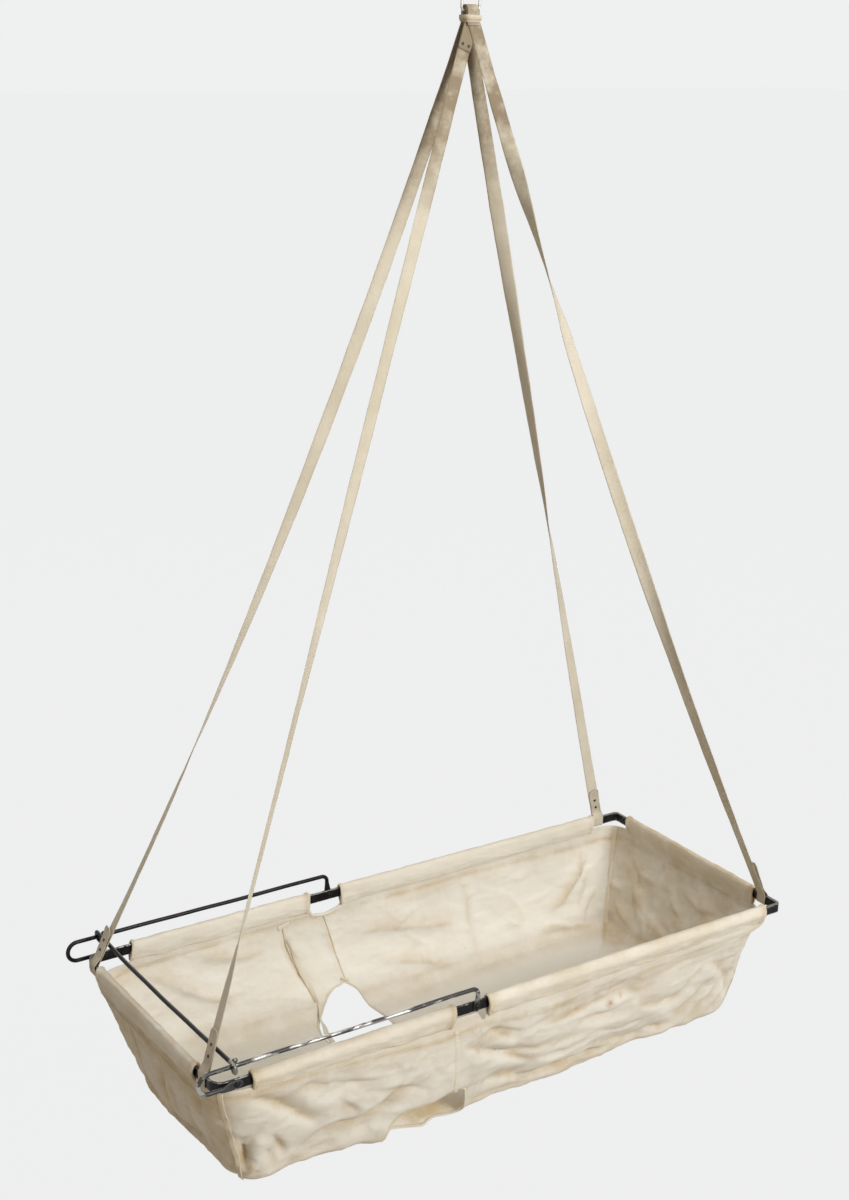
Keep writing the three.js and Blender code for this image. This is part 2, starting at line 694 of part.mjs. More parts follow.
// Point of a wall: u runs along it between corner seams, down is the depth, and turn is the angle turned under
function wallPoint(wall, column, down, turn, seam) {
  const straight = tubDepth - tubFoldRadius;
  const share = Math.min((down - wallTop) / (straight - wallTop), 1);
  const inTurn = tubFoldRadius * (1 - Math.cos(turn));
  const narrow = (side) => (side ? tubSideInset : tubEndInset) * share + inTurn;
  const isLong = wall.out[0] === 0;
  const half = wall.half - narrow(isLong);
  const reach = wall.reach - narrow(!isLong);
  const radius = THREE.MathUtils.lerp(tubTopCorner, tubFootCorner, share);
  const total = 2 * cornerColumns + wall.columns;
  const seamAngle = seam / radius;
  const limit = Math.PI / 4 - seamAngle;
  let e;
  let o;
  if (column <= cornerColumns) {
    const angle = -limit * (1 - column / cornerColumns);
    e = -(reach - radius) + radius * Math.sin(angle);
    o = half - radius + radius * Math.cos(angle);
  } else if (column >= total - cornerColumns) {
    const angle = limit * (1 - (total - column) / cornerColumns);
    e = reach - radius + radius * Math.sin(angle);
    o = half - radius + radius * Math.cos(angle);
  } else {
    e = (reach - radius) * (2 * ((column - cornerColumns) / wall.columns) - 1);
    o = half;
  }
  if (turn === 0) o += foldAt(wall.folds, column / total, share);
  const depth = down + tubFoldRadius * Math.sin(turn);
  return new THREE.Vector3(
    wall.out[0] * o + wall.along[0] * e,
    wall.out[1] * o + wall.along[1] * e,
    -depth,
  );
}

// A closed sheet of cloth round a grid of points
function clothSheet(grid, thickness) {
  const rows = grid.length;
  const columns = grid[0].length;
  const at = (i, j) => grid[THREE.MathUtils.clamp(i, 0, rows - 1)][THREE.MathUtils.clamp(j, 0, columns - 1)];
  const offset = (side) => grid.flatMap((row, i) => row.map((point, j) => {
    const across = at(i, j + 1).clone().sub(at(i, j - 1));
    const down = at(i + 1, j).clone().sub(at(i - 1, j));
    const normal = across.cross(down).normalize();
    return point.clone().addScaledVector(normal, (side * thickness) / 2);
  }));
  const points = [...offset(1), ...offset(-1)];
  const back = rows * columns;
  const triangles = [];
  const quad = (a, b, c, d) => triangles.push(a, b, c, a, c, d);
  for (let i = 0; i < rows - 1; i += 1) {
    for (let j = 0; j < columns - 1; j += 1) {
      const a = i * columns + j;
      const b = a + columns;
      quad(a, a + 1, b + 1, b);
      quad(back + a, back + b, back + b + 1, back + a + 1);
    }
  }
  const rim = [];
  for (let j = 0; j < columns - 1; j += 1) rim.push(j);
  for (let i = 0; i < rows - 1; i += 1) rim.push(i * columns + columns - 1);
  for (let j = columns - 1; j > 0; j -= 1) rim.push((rows - 1) * columns + j);
  for (let i = rows - 1; i > 0; i -= 1) rim.push(i * columns);
  rim.forEach((a, n) => {
    const b = rim[(n + 1) % rim.length];
    quad(a, back + a, back + b, b);
  });
  return meshFrom(points, triangles);
}

function wallGrid(wall) {
  const total = 2 * cornerColumns + wall.columns;
  const straight = tubDepth - tubFoldRadius;
  const seam = 0.75 * seatGap;
  const lastTurn = seamTurn - seatGap / tubFoldRadius;
  const rows = [
    ...Array.from({ length: wallRows + 1 }, (_, i) => [wallTop + ((straight - wallTop) * i) / wallRows, 0]),
    ...Array.from({ length: turnRows }, (_, i) => [straight, (lastTurn * (i + 1)) / turnRows]),
  ];
  return rows.map(([down, turn]) =>
    Array.from({ length: total + 1 }, (_, column) => wallPoint(wall, column, down, turn, seam)));
}

// Floor: its rim follows the walls' feet, its middle hangs a little
function floorGrid() {
  const straight = tubDepth - tubFoldRadius;
  const turn = seamTurn + seatGap / 2 / tubFoldRadius;
  const edge = (wall) => Array.from({ length: 2 * cornerColumns + wall.columns + 1 }, (_, column) =>
    wallPoint(wall, column, straight, turn, 0));
  const near = edge(walls.near);
  const right = edge(walls.right);
  const far = edge(walls.far).reverse();
  const left = edge(walls.left).reverse();
  const shares = (line) => {
    const lengths = line.map((p, i) => (i ? p.distanceTo(line[i - 1]) : 0));
    const sums = lengths.reduce((all, step) => [...all, (all.at(-1) ?? 0) + step], []);
    return sums.map((sum) => sum / sums.at(-1));
  };
  const acrossShares = shares(near);
  const upShares = shares(right);
  const last = near.length - 1;
  return upShares.map((q, j) => acrossShares.map((p, i) => {
    const onEdge = i === 0 || j === 0 || i === last || j === right.length - 1;
    const point = new THREE.Vector3()
      .addScaledVector(near[i], 1 - q).addScaledVector(far[i], q)
      .addScaledVector(left[j], 1 - p).addScaledVector(right[j], p)
      .addScaledVector(near[0], -(1 - p) * (1 - q)).addScaledVector(near[last], -p * (1 - q))
      .addScaledVector(far[0], -(1 - p) * q).addScaledVector(far[last], -p * q);
    if (!onEdge) point.z = -tubDepth - tubSag * Math.sin(Math.PI * p) * Math.sin(Math.PI * q);
    return point;
  }));
}

// A straight-sided cutter from an outline, along Y or along Z
function cutterAlongY(outline, from, to) {
  const shape = new THREE.Shape(outline.map(([x, z]) => new THREE.Vector2(x, z)));
  const cutter = new THREE.ExtrudeGeometry(shape, { depth: to - from, bevelEnabled: false });
  cutter.rotateX(Math.PI / 2);
  cutter.translate(0, to, 0);
  return cutter;
}

function cutterAlongZ(outline, from, to) {
  const shape = new THREE.Shape(outline.map(([x, y]) => new THREE.Vector2(x, y)));
  const cutter = new THREE.ExtrudeGeometry(shape, { depth: to - from, bevelEnabled: false });
  cutter.translate(0, 0, from);
  return cutter;
}

// Near leg opening: an arch in the wall, down to the floor's seam
const tubFoot = -tubDepth - tubSag - overrun;
const nearLegWidth = nearLegRight + (nearLegLeft - 2 * nearLegRight);
const nearArchShares = [[0, 0], [0.04, 0.45], [0.18, 0.8], [0.42, 1], [0.85, 1], [0.98, 0.75], [1, 0]];
const archRise = tubDepth - nearLegTop;
const nearArch = [
  [-nearLegLeft, tubFoot],
  ...nearArchShares.map(([across, up]) =>
    [-nearLegLeft + across * nearLegWidth, -tubDepth + up * archRise]),
  [-nearLegLeft + nearLegWidth, tubFoot],
];

// Far leg opening: pointed in the wall, and wide in the floor
const farArch = [
  [-farLegFoldLeft, tubFoot],
  [-farLegFoldLeft, -tubDepth],
  [-THREE.MathUtils.lerp(farLegFoldLeft, farLegApex, 0.7), -THREE.MathUtils.lerp(tubDepth, farLegTop, 0.75)],
  [-farLegApex, -farLegTop],
  [-THREE.MathUtils.lerp(farLegFoldRight, farLegApex, 0.6), -THREE.MathUtils.lerp(tubDepth, farLegTop, 0.7)],
  [-farLegFoldRight, -tubDepth],
  [-farLegFoldRight, tubFoot],
];
const farFloorOutline = [
  [-farLegFoldLeft, longBarY], [-farLegFoldLeft, longBarY - tubSideInset],
  [-THREE.MathUtils.lerp(farLegFoldLeft, farLegLeft, 0.5), THREE.MathUtils.lerp(longBarY - tubSideInset, farLegReach, 0.4)],
  [-farLegLeft, farLegReach],
  [-THREE.MathUtils.lerp(farLegLeft, farLegRight, 0.15), farLegEnd],
  [-THREE.MathUtils.lerp(farLegLeft, farLegRight, 0.85), farLegEnd],
  [-farLegRight, farLegReach], [-farLegFoldRight, longBarY - tubSideInset],
  [-farLegFoldRight, longBarY],
].reverse();

const wallCuts = {
  near: [cutterAlongY(nearArch, -frameWidth, 0)],
  far: [cutterAlongY(farArch, 0, frameWidth)],
};
const panelNames = { near: 'canvas_near_wall', right: 'canvas_right_end', far: 'canvas_far_wall', left: 'canvas_left_end' };
for (const [side, wall] of Object.entries(walls)) {
  wall.folds = wallFoldShares[side];
}
for (const [side, wall] of Object.entries(walls)) {
  const sheet = clothSheet(wallGrid(wall), canvasThickness);
  const cuts = wallCuts[side] ?? [];
  addPiece(cradle, panelNames[side], cuts.length ? cutBy(sheet, ...cuts) : sheet, 'canvas');
}
const floorSheet = clothSheet(floorGrid(), canvasThickness);
addPiece(cradle, 'canvas_floor', cutBy(floorSheet, cutterAlongZ(farFloorOutline, tubFoot, -wallTop)), 'canvas');

// Patch over the slit's top, on the far wall's inner face
function slitTab() {
  const wall = walls.far;
  const straight = tubDepth - tubFoldRadius;
  const total = 2 * cornerColumns + wall.columns;
  const column = total * (1 - tabPlaceShare);
  const down = wallTop + tabDepthShare * (straight - wallTop);
  const point = wallPoint(wall, column, down, 0, 0);
  const beside = wallPoint(wall, column + 1, down, 0, 0);
  const below = wallPoint(wall, column, down + tabWidth, 0, 0);
  const across = beside.sub(point).normalize();
  const drop = below.sub(point).normalize();
  const inward = across.clone().cross(drop).normalize();
  if (inward.y > 0) inward.negate();
  const outline = new THREE.Shape();
  const end = (tabLength - tabWidth) / 2;
  outline.absarc(end, 0, tabWidth / 2, -Math.PI / 2, Math.PI / 2, false);
  outline.absarc(-end, 0, tabWidth / 2, Math.PI / 2, 1.5 * Math.PI, false);
  const tab = new THREE.ExtrudeGeometry(outline, { depth: tabThickness, bevelEnabled: false, curveSegments: turnSteps });
  const lie = inward.clone().cross(across).normalize();
  tab.applyMatrix4(new THREE.Matrix4().makeBasis(across, lie, inward));
  const seat = point.addScaledVector(inward, canvasThickness / 2 + seatGap);
  tab.translate(seat.x, seat.y, seat.z);
  return tab;
}
addPiece(cradle, 'slit_tab', slitTab(), 'hem');

export default product;
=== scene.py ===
import bmesh
import bpy
import math
import numpy as np
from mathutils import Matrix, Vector, noise


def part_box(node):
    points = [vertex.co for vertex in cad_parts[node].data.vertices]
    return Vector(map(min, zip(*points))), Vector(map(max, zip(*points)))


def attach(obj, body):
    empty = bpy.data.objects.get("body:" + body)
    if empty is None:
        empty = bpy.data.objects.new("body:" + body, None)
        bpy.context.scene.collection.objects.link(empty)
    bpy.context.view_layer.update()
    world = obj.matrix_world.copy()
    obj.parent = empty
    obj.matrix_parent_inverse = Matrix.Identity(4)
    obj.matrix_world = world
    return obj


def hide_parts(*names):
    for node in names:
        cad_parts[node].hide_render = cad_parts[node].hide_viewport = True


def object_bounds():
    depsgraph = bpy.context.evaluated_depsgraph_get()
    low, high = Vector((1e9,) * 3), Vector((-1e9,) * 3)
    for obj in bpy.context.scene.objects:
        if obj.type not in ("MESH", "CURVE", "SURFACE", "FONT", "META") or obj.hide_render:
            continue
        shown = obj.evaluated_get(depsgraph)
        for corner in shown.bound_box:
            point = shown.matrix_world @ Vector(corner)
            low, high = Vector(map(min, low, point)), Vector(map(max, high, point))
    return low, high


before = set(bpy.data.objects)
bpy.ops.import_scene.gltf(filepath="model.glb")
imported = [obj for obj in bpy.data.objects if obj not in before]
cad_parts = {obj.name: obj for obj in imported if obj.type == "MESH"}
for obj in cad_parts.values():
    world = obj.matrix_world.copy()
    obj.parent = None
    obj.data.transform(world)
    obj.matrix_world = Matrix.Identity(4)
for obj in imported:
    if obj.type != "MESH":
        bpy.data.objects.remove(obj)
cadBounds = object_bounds()
rng = np.random.default_rng(41)

# All making is done in millimetres from the middle of the frame bar, then set in the row frame
barLow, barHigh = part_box("frame_bar")
barCentreZ = (barLow[2] + barHigh[2]) / 2


def toFrame(points):
    placed = np.array(points, dtype=float) / 1000
    placed[..., 2] += barCentreZ
    return placed


# A node with its settings and its inputs, which are values or the sockets that feed them
def addNode(tree, kind, inputs=None, **settings):
    node = tree.nodes.new(kind)
    for name, value in settings.items():
        setattr(node, name, value)
    for key, value in (inputs or {}).items():
        if isinstance(value, bpy.types.NodeSocket):
            tree.links.new(value, node.inputs[key])
        else:
            node.inputs[key].default_value = value
    return node


def mathNode(tree, operation, *values):
    return addNode(tree, "ShaderNodeMath", dict(enumerate(values)), operation=operation).outputs[0]


def addObject(name, data):
    thing = bpy.data.objects.new(name, data)
    bpy.context.scene.collection.objects.link(thing)
    return thing


# Camera, light and floor
cameraPlan = {
    "place": (-1.194857, -1.709602, -0.039104),
    "right": (0.832681, -0.553354, 0.021025),
    "down": (-0.151698, -0.264459, -0.952391),
    "forward": (0.532570, 0.789848, -0.304152),
    "focalShare": 2.21009,  # focal length over the picture's width
    "sensorMm": 36.0,
}


def makeCamera(plan):
    lens = bpy.data.cameras.new("viewCamera")
    lens.sensor_fit = "HORIZONTAL"
    lens.sensor_width = plan["sensorMm"]
    lens.lens = plan["sensorMm"] * plan["focalShare"]
    lens.clip_end = 200
    camera = addObject("viewCamera", lens)
    turned = camera.matrix_world.copy()
    for row in range(3):
        turned[row] = (plan["right"][row], -plan["down"][row], -plan["forward"][row], plan["place"][row])
    camera.matrix_world = turned
    bpy.context.scene.camera = camera


makeCamera(cameraPlan)

studioPlan = {
    "backdrop": (0.862, 0.868, 0.868),
    "floorDrop": 0.42,  # below the cradle's lowest point
    "floorSize": 60.0,
    "roomColour": (1.0, 0.93, 0.83), "roomStrength": 0.13,
    "floorColour": (0.52, 0.47, 0.40), "floorShare": 0.985,  # how far the floor looks like the backdrop
    "aim": (0, 0, -1.05),
    "lamps": [
        # name, place, size, watts, colour
        ("keyLamp", (0.9, -3.4, 0.9), 1.3, 145.0, (1.0, 1.0, 0.99)),
        ("topLamp", (-0.5, -0.3, 2.2), 1.8, 34.0, (1.0, 0.99, 0.96)),
        ("backLamp", (0.9, 3.3, 0.9), 2.2, 42.0, (1.0, 0.97, 0.92)),
        ("fillLamp", (-3.2, -0.9, 0.6), 2.2, 25.0, (1.0, 0.92, 0.80)),
    ],
}


# The camera, and the rays that metal and glass send on, see the plain backdrop; all others see what is lit
def splitByRays(tree, outKind, litKind, lit, seenKind, backdrop, share):
    tree.nodes.clear()
    path = tree.nodes.new("ShaderNodeLightPath")
    seen = path.outputs["Is Camera Ray"]
    for ray in ("Is Glossy Ray", "Is Transmission Ray"):
        seen = mathNode(tree, "MAXIMUM", seen, path.outputs[ray])
    mix = addNode(tree, "ShaderNodeMixShader", {
        0: mathNode(tree, "MULTIPLY", seen, share), 1: addNode(tree, litKind, lit).outputs[0],
        2: addNode(tree, seenKind, {"Color": (*backdrop, 1), "Strength": 1.0}).outputs[0]})
    addNode(tree, outKind, {0: mix.outputs[0]})


def makeStudio(plan):
    world = bpy.data.worlds.new("softRoom")
    world.use_nodes = True
    bpy.context.scene.world = world
    splitByRays(world.node_tree, "ShaderNodeOutputWorld", "ShaderNodeBackground",
                {"Color": (*plan["roomColour"], 1), "Strength": plan["roomStrength"]},
                "ShaderNodeBackground", plan["backdrop"], 1.0)
    for name, spot, size, watts, colour in plan["lamps"]:
        lamp = bpy.data.lights.new(name, "AREA")
        lamp.shape = "SQUARE"
        lamp.size = size
        lamp.energy = watts
        lamp.color = colour
        holder = addObject(name, lamp)
        holder.location = spot
        holder.rotation_euler = (Vector(plan["aim"]) - Vector(spot)).to_track_quat("-Z", "Y").to_euler()
    half = plan["floorSize"] / 2
    level = cadBounds[0][2] - plan["floorDrop"]
    floorMesh = bpy.data.meshes.new("studioFloor")
    floorMesh.from_pydata([(-half, -half, level), (half, -half, level), (half, half, level), (-half, half, level)],
                          [], [(0, 1, 2, 3)])
    paper = bpy.data.materials.new("paleFloor")
    paper.use_nodes = True
    splitByRays(paper.node_tree, "ShaderNodeOutputMaterial", "ShaderNodeBsdfDiffuse",
                {"Color": (*plan["floorColour"], 1)}, "ShaderNodeEmission", plan["backdrop"], plan["floorShare"])
    floorMesh.materials.append(paper)
    floor = addObject("studioFloor", floorMesh)


makeStudio(studioPlan)
bpy.context.scene.view_settings.view_transform = "Standard"
print("camera, lamps and floor are in place")


# Materials
def startMaterial(name, roughness, metallic=0.0):
    material = bpy.data.materials.new(name)
    material.use_nodes = True
    tree = material.node_tree
    shader = tree.nodes["Principled BSDF"]
    shader.inputs["Roughness"].default_value = roughness
    shader.inputs["Metallic"].default_value = metallic
    return material, tree, shader


def noiseNode(tree, vector, scale, detail=4.0, roughness=0.55):
    return addNode(tree, "ShaderNodeTexNoise", {
        "Vector": vector, "Scale": scale, "Detail": detail, "Roughness": roughness}).outputs["Fac"]


def stretchedNoise(tree, vector, stretch, scale, detail=4.0):
    mapping = addNode(tree, "ShaderNodeMapping", {"Vector": vector, "Scale": stretch})
    return noiseNode(tree, mapping.outputs[0], scale, detail)


def rampNode(tree, value, low, high):
    return addNode(tree, "ShaderNodeMapRange", {"Value": value, "From Min": low, "From Max": high},
                   interpolation_type="SMOOTHSTEP").outputs["Result"]


def mixColour(tree, share, *colours):
    first, second = ((*colour, 1) if isinstance(colour, tuple) else colour for colour in colours)
    return addNode(tree, "ShaderNodeMix", {0: share, 6: first, 7: second}, data_type="RGBA").outputs[2]


def attributeNode(tree, name):
    return addNode(tree, "ShaderNodeAttribute", attribute_name=name).outputs["Fac"]


def bumpNode(tree, height, strength, distance, **below):
    return addNode(tree, "ShaderNodeBump", {"Height": height, "Strength": strength, "Distance": distance,
                                            **below}).outputs[0]


# Woven cloth on the piece's own UV map, which is laid out in metres
def clothMaterial(name, plan):
    material, tree, shader = startMaterial(name, plan["roughness"])
    place = tree.nodes.new("ShaderNodeTexCoord").outputs["Object"]
    sheetMap = addNode(tree, "ShaderNodeUVMap", uv_map="sheet").outputs[0]
    across, along = addNode(tree, "ShaderNodeSeparateXYZ", {0: sheetMap}).outputs[:2]
    turns = 2 * math.pi / (plan["yarnMm"] / 1000)
    if plan["twill"]:
        yarns = (mathNode(tree, "ADD", across, along), turns), (across, turns * 1.7)
    else:
        yarns = (across, turns), (along, turns)
    waves = [mathNode(tree, "SINE", mathNode(tree, "MULTIPLY", *yarn)) for yarn in yarns]
    weave = mathNode(tree, "MULTIPLY", *waves)
    slub, slubAcross = (stretchedNoise(tree, sheetMap, stretch, plan["slubScale"], 3.0)
                        for stretch in ((1.0, 14.0, 1.0), (14.0, 1.0, 1.0)))
    cloud = noiseNode(tree, place, plan["cloudScale"], 5.0, 0.6)
    colour = mixColour(tree, rampNode(tree, cloud, 0.3, 0.72), plan["light"], plan["shade"])
    thread = mathNode(tree, "MULTIPLY", slub, slubAcross)
    colour = mixColour(tree, mathNode(tree, "MULTIPLY", rampNode(tree, thread, 0.12, 0.42), plan["slubShare"]),
                       colour, plan["shade"])
    blot = noiseNode(tree, place, plan["blotScale"], 6.0, 0.65)
    # the attribute darkens the cloth towards the soil colour: real dirt, and painted shade where the pieces put it
    soilAndShade = mathNode(tree, "MULTIPLY", attributeNode(tree, "soilAndShade"), rampNode(tree, blot, 0.22, 0.68))
    colour = mixColour(tree, mathNode(tree, "MINIMUM", soilAndShade, 1.0), colour, plan["soilAndShade"])
    fleck = noiseNode(tree, place, plan["fleckScale"], 1.0)
    colour = mixColour(tree, mathNode(tree, "MULTIPLY", rampNode(tree, fleck, 0.735, 0.78), plan["fleckShare"]),
                       colour, plan["fleck"])
    rust = mathNode(tree, "MULTIPLY", attributeNode(tree, "rust"), rampNode(tree, fleck, 0.3, 0.5))
    colour = mixColour(tree, rust, colour, plan["rust"])
    tree.links.new(colour, shader.inputs["Base Color"])
    fine = bumpNode(tree, weave, plan["weaveBump"], 0.00012)
    rough = bumpNode(tree, thread, 0.6, 0.00035, Normal=fine)
    folds = stretchedNoise(tree, sheetMap, plan["foldStretch"], plan["foldScale"], 3.0)
    ridges = mathNode(tree, "ABSOLUTE", mathNode(tree, "SUBTRACT", folds, 0.5))
    sharp = bumpNode(tree, ridges, plan["folds"], 0.006, Normal=rough)
    crumple = noiseNode(tree, place, plan["crumpleScale"], 5.0, 0.62)
    tree.links.new(bumpNode(tree, crumple, plan["crumple"], 0.004, Normal=sharp), shader.inputs["Normal"])
    shader.inputs["Specular IOR Level"].default_value = plan["shine"]
    shader.inputs["Sheen Weight"].default_value = plan["sheen"]
    shader.inputs["Sheen Roughness"].default_value = plan["sheenRoughness"]
    return material


canvasLook = {
    "light": (0.738, 0.706, 0.640), "shade": (0.688, 0.650, 0.568), "soilAndShade": (0.50, 0.385, 0.225),
    "fleck": (0.25, 0.18, 0.10), "fleckScale": 620.0, "fleckShare": 0.55, "rust": (0.42, 0.17, 0.045),
    "roughness": 0.93, "shine": 0.18, "sheen": 0.12, "sheenRoughness": 0.6,
    "yarnMm": 0.9, "twill": False, "slubScale": 90.0, "slubShare": 0.4,
    "cloudScale": 3.0, "blotScale": 22.0, "crumpleScale": 30.0, "crumple": 0.14, "weaveBump": 0.55,
    "folds": 0.42, "foldScale": 16.0, "foldStretch": (1.0, 2.2, 1.0),
}
hemLook = dict(canvasLook, light=(0.765, 0.725, 0.640), shade=(0.695, 0.645, 0.545), crumple=0.3, folds=0.2,
               cloudScale=12.0)
tapeLook = dict(canvasLook, light=(0.680, 0.630, 0.525), shade=(0.580, 0.520, 0.405), soilAndShade=(0.27, 0.215, 0.145),
                yarnMm=0.8, twill=True, slubShare=0.3, cloudScale=9.0, crumple=0.1, weaveBump=0.3, folds=0.0)
threadLook = dict(canvasLook, light=(0.76, 0.70, 0.58), shade=(0.66, 0.59, 0.46), yarnMm=0.5)

canvasCloth = clothMaterial("creasedCanvas", canvasLook)
hemCloth = clothMaterial("hemCanvas", hemLook)
tapeCloth = clothMaterial("strapTape", tapeLook)
lashingCloth = clothMaterial("lashingTape", dict(tapeLook, light=(0.72, 0.65, 0.52), shade=(0.62, 0.54, 0.40)))
threadCloth = clothMaterial("sewingThread", threadLook)


# Black paint that is rubbed off where the attribute wear is high
def paintMaterial(name, plan):
    material, tree, shader = startMaterial(name, 0.4)
    place = tree.nodes.new("ShaderNodeTexCoord").outputs["Object"]
    chips = noiseNode(tree, place, plan["chipScale"], 8.0, 0.7)
    broad = noiseNode(tree, place, plan["chipScale"] * 0.22, 3.0)
    wear = mathNode(tree, "MULTIPLY_ADD", attributeNode(tree, "wear"), 0.34, mathNode(tree, "MULTIPLY", broad, 0.16))
    bare = rampNode(tree, mathNode(tree, "ADD", chips, wear), plan["bareFrom"], plan["bareFrom"] + 0.05)
    grimeAndShade = noiseNode(tree, place, 60.0, 5.0)
    paint = mixColour(tree, rampNode(tree, grimeAndShade, 0.4, 0.7), plan["paint"], plan["dust"])
    colour = mixColour(tree, bare, paint, plan["steel"])
    tree.links.new(colour, shader.inputs["Base Color"])
    tree.links.new(mathNode(tree, "MULTIPLY", bare, 0.85), shader.inputs["Metallic"])
    tree.links.new(mathNode(tree, "MULTIPLY_ADD", grimeAndShade, 0.3, 0.2), shader.inputs["Roughness"])
    shader.inputs["Specular IOR Level"].default_value = plan["shine"]
    height = mathNode(tree, "SUBTRACT", mathNode(tree, "MULTIPLY", grimeAndShade, 0.4), bare)
    tree.links.new(bumpNode(tree, height, 0.5, 0.0002), shader.inputs["Normal"])
    return material


# Bare rod with dark specks of old paint left in it
def steelMaterial(name, plan):
    material, tree, shader = startMaterial(name, 0.35, 1.0)
    place = tree.nodes.new("ShaderNodeTexCoord").outputs["Object"]
    streaks = stretchedNoise(tree, place, plan["stretch"], plan["speckScale"], 7.0)
    broad = noiseNode(tree, place, plan["speckScale"] * 0.12, 3.0)
    dark = rampNode(tree, mathNode(tree, "MULTIPLY_ADD", broad, 0.3, streaks), plan["darkFrom"],
                    plan["darkFrom"] + 0.08)
    dark = mathNode(tree, "MAXIMUM", dark, attributeNode(tree, "paint"))
    haze = noiseNode(tree, place, 45.0, 5.0)
    bright = mixColour(tree, haze, plan["bright"], plan["dull"])
    colour = mixColour(tree, dark, bright, plan["dark"])
    tree.links.new(colour, shader.inputs["Base Color"])
    tree.links.new(mathNode(tree, "SUBTRACT", 1.0, mathNode(tree, "MULTIPLY", dark, 0.8)), shader.inputs["Metallic"])
    tree.links.new(mathNode(tree, "MULTIPLY_ADD", haze, 0.3, plan["gloss"]), shader.inputs["Roughness"])
    tree.links.new(bumpNode(tree, streaks, 0.35, 0.0002), shader.inputs["Normal"])
    return material


blackPaint = paintMaterial("chippedBlackPaint", {
    "paint": (0.004, 0.004, 0.005), "dust": (0.013, 0.012, 0.012), "steel": (0.20, 0.19, 0.17),
    "chipScale": 210.0, "bareFrom": 0.87, "shine": 0.16,
})
wornSteel = steelMaterial("rubbedRodSteel", {
    "bright": (0.50, 0.485, 0.46), "dull": (0.30, 0.29, 0.27), "dark": (0.020, 0.018, 0.016),
    "speckScale": 160.0, "darkFrom": 0.60, "stretch": (0.22, 1.0, 1.0), "gloss": 0.27,
})
linkSteel = steelMaterial("linkWireSteel", {
    "bright": (0.55, 0.54, 0.52), "dull": (0.34, 0.33, 0.31), "dark": (0.06, 0.055, 0.05),
    "speckScale": 300.0, "darkFrom": 0.78, "stretch": (1.0, 1.0, 0.4), "gloss": 0.2,
})
darkNail = steelMaterial("darkNailSteel", {
    "bright": (0.07, 0.065, 0.06), "dull": (0.03, 0.028, 0.026), "dark": (0.012, 0.011, 0.01),
    "speckScale": 500.0, "darkFrom": 0.62, "stretch": (1.0, 1.0, 1.0), "gloss": 0.3,
})
print("materials are made")


# Mesh helpers
def gridFaces(rows, columns, closedColumns=False, closedRows=False):
    faces = []
    for i in range(rows if closedRows else rows - 1):
        below = ((i + 1) % rows) * columns
        for j in range(columns if closedColumns else columns - 1):
            k = (j + 1) % columns
            faces.append((i * columns + j, i * columns + k, below + k, below + j))
    return faces


def signedVolume(points, faces):
    total = 0.0
    for face in faces:
        a = points[face[0]]
        for n in range(1, len(face) - 1):
            total += np.dot(a, np.cross(points[face[n]], points[face[n + 1]]))
    return total / 6


# Puts a mesh in the scene and says what it rides with and which solids it stands for
def enterPiece(name, mesh, body, standsFor):
    piece = addObject(name, mesh)
    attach(piece, body)
    if standsFor:
        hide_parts(*standsFor)
    return piece


def makePiece(name, points, faces, material, sheetMap, marks=None, body="cradle", standsFor=()):
    points = np.asarray(points, dtype=float)
    if signedVolume(points - points.mean(axis=0), faces) < 0:
        faces = [tuple(reversed(face)) for face in faces]
    mesh = bpy.data.meshes.new(name)
    mesh.from_pydata(toFrame(points).tolist(), [], faces)
    mesh.validate()
    layer = mesh.uv_layers.new(name="sheet")
    order = np.empty(len(mesh.loops), dtype=np.int64)
    mesh.loops.foreach_get("vertex_index", order)
    layer.data.foreach_set("uv", (np.asarray(sheetMap)[order] / 1000).ravel().astype(np.float32))
    for markName, values in (marks or {}).items():
        attribute = mesh.attributes.new(markName, "FLOAT", "POINT")
        attribute.data.foreach_set("value", np.full(len(points), values, dtype=np.float32))
    mesh.materials.append(material)
    mesh.shade_smooth()
    return enterPiece(name, mesh, body, standsFor)


def unit(vectors):
    vectors = np.asarray(vectors, dtype=float)
    return vectors / np.maximum(np.linalg.norm(vectors, axis=-1, keepdims=True), 1e-9)


def tangentsOf(points, closed=False):
    if closed:
        return unit(np.roll(points, -1, axis=0) - np.roll(points, 1, axis=0))
    return unit(np.gradient(points, axis=0))


# Catmull-Rom through the points, with samples about a step apart
def smoothPath(points, step, closed=False):
    points = np.asarray(points, dtype=float)
    count = len(points)
    samples = []
    for i in range(count if closed else count - 1):
        if closed:
            p = [points[(i + k) % count] for k in (-1, 0, 1, 2)]
        else:
            p = [points[max(i - 1, 0)], points[i], points[i + 1], points[min(i + 2, count - 1)]]
        parts = max(1, int(round(np.linalg.norm(p[2] - p[1]) / step)))
        for k in range(parts):
            t = k / parts
            samples.append(0.5 * (2 * p[1] + (p[2] - p[0]) * t + (2 * p[0] - 5 * p[1] + 4 * p[2] - p[3]) * t * t
                                  + (3 * p[1] - p[0] - 3 * p[2] + p[3]) * t ** 3))
    if not closed:
        samples.append(points[-1])
    return np.array(samples)


def lengthsAlong(points):
    return np.concatenate([[0], np.cumsum(np.linalg.norm(np.diff(points, axis=0), axis=1))])


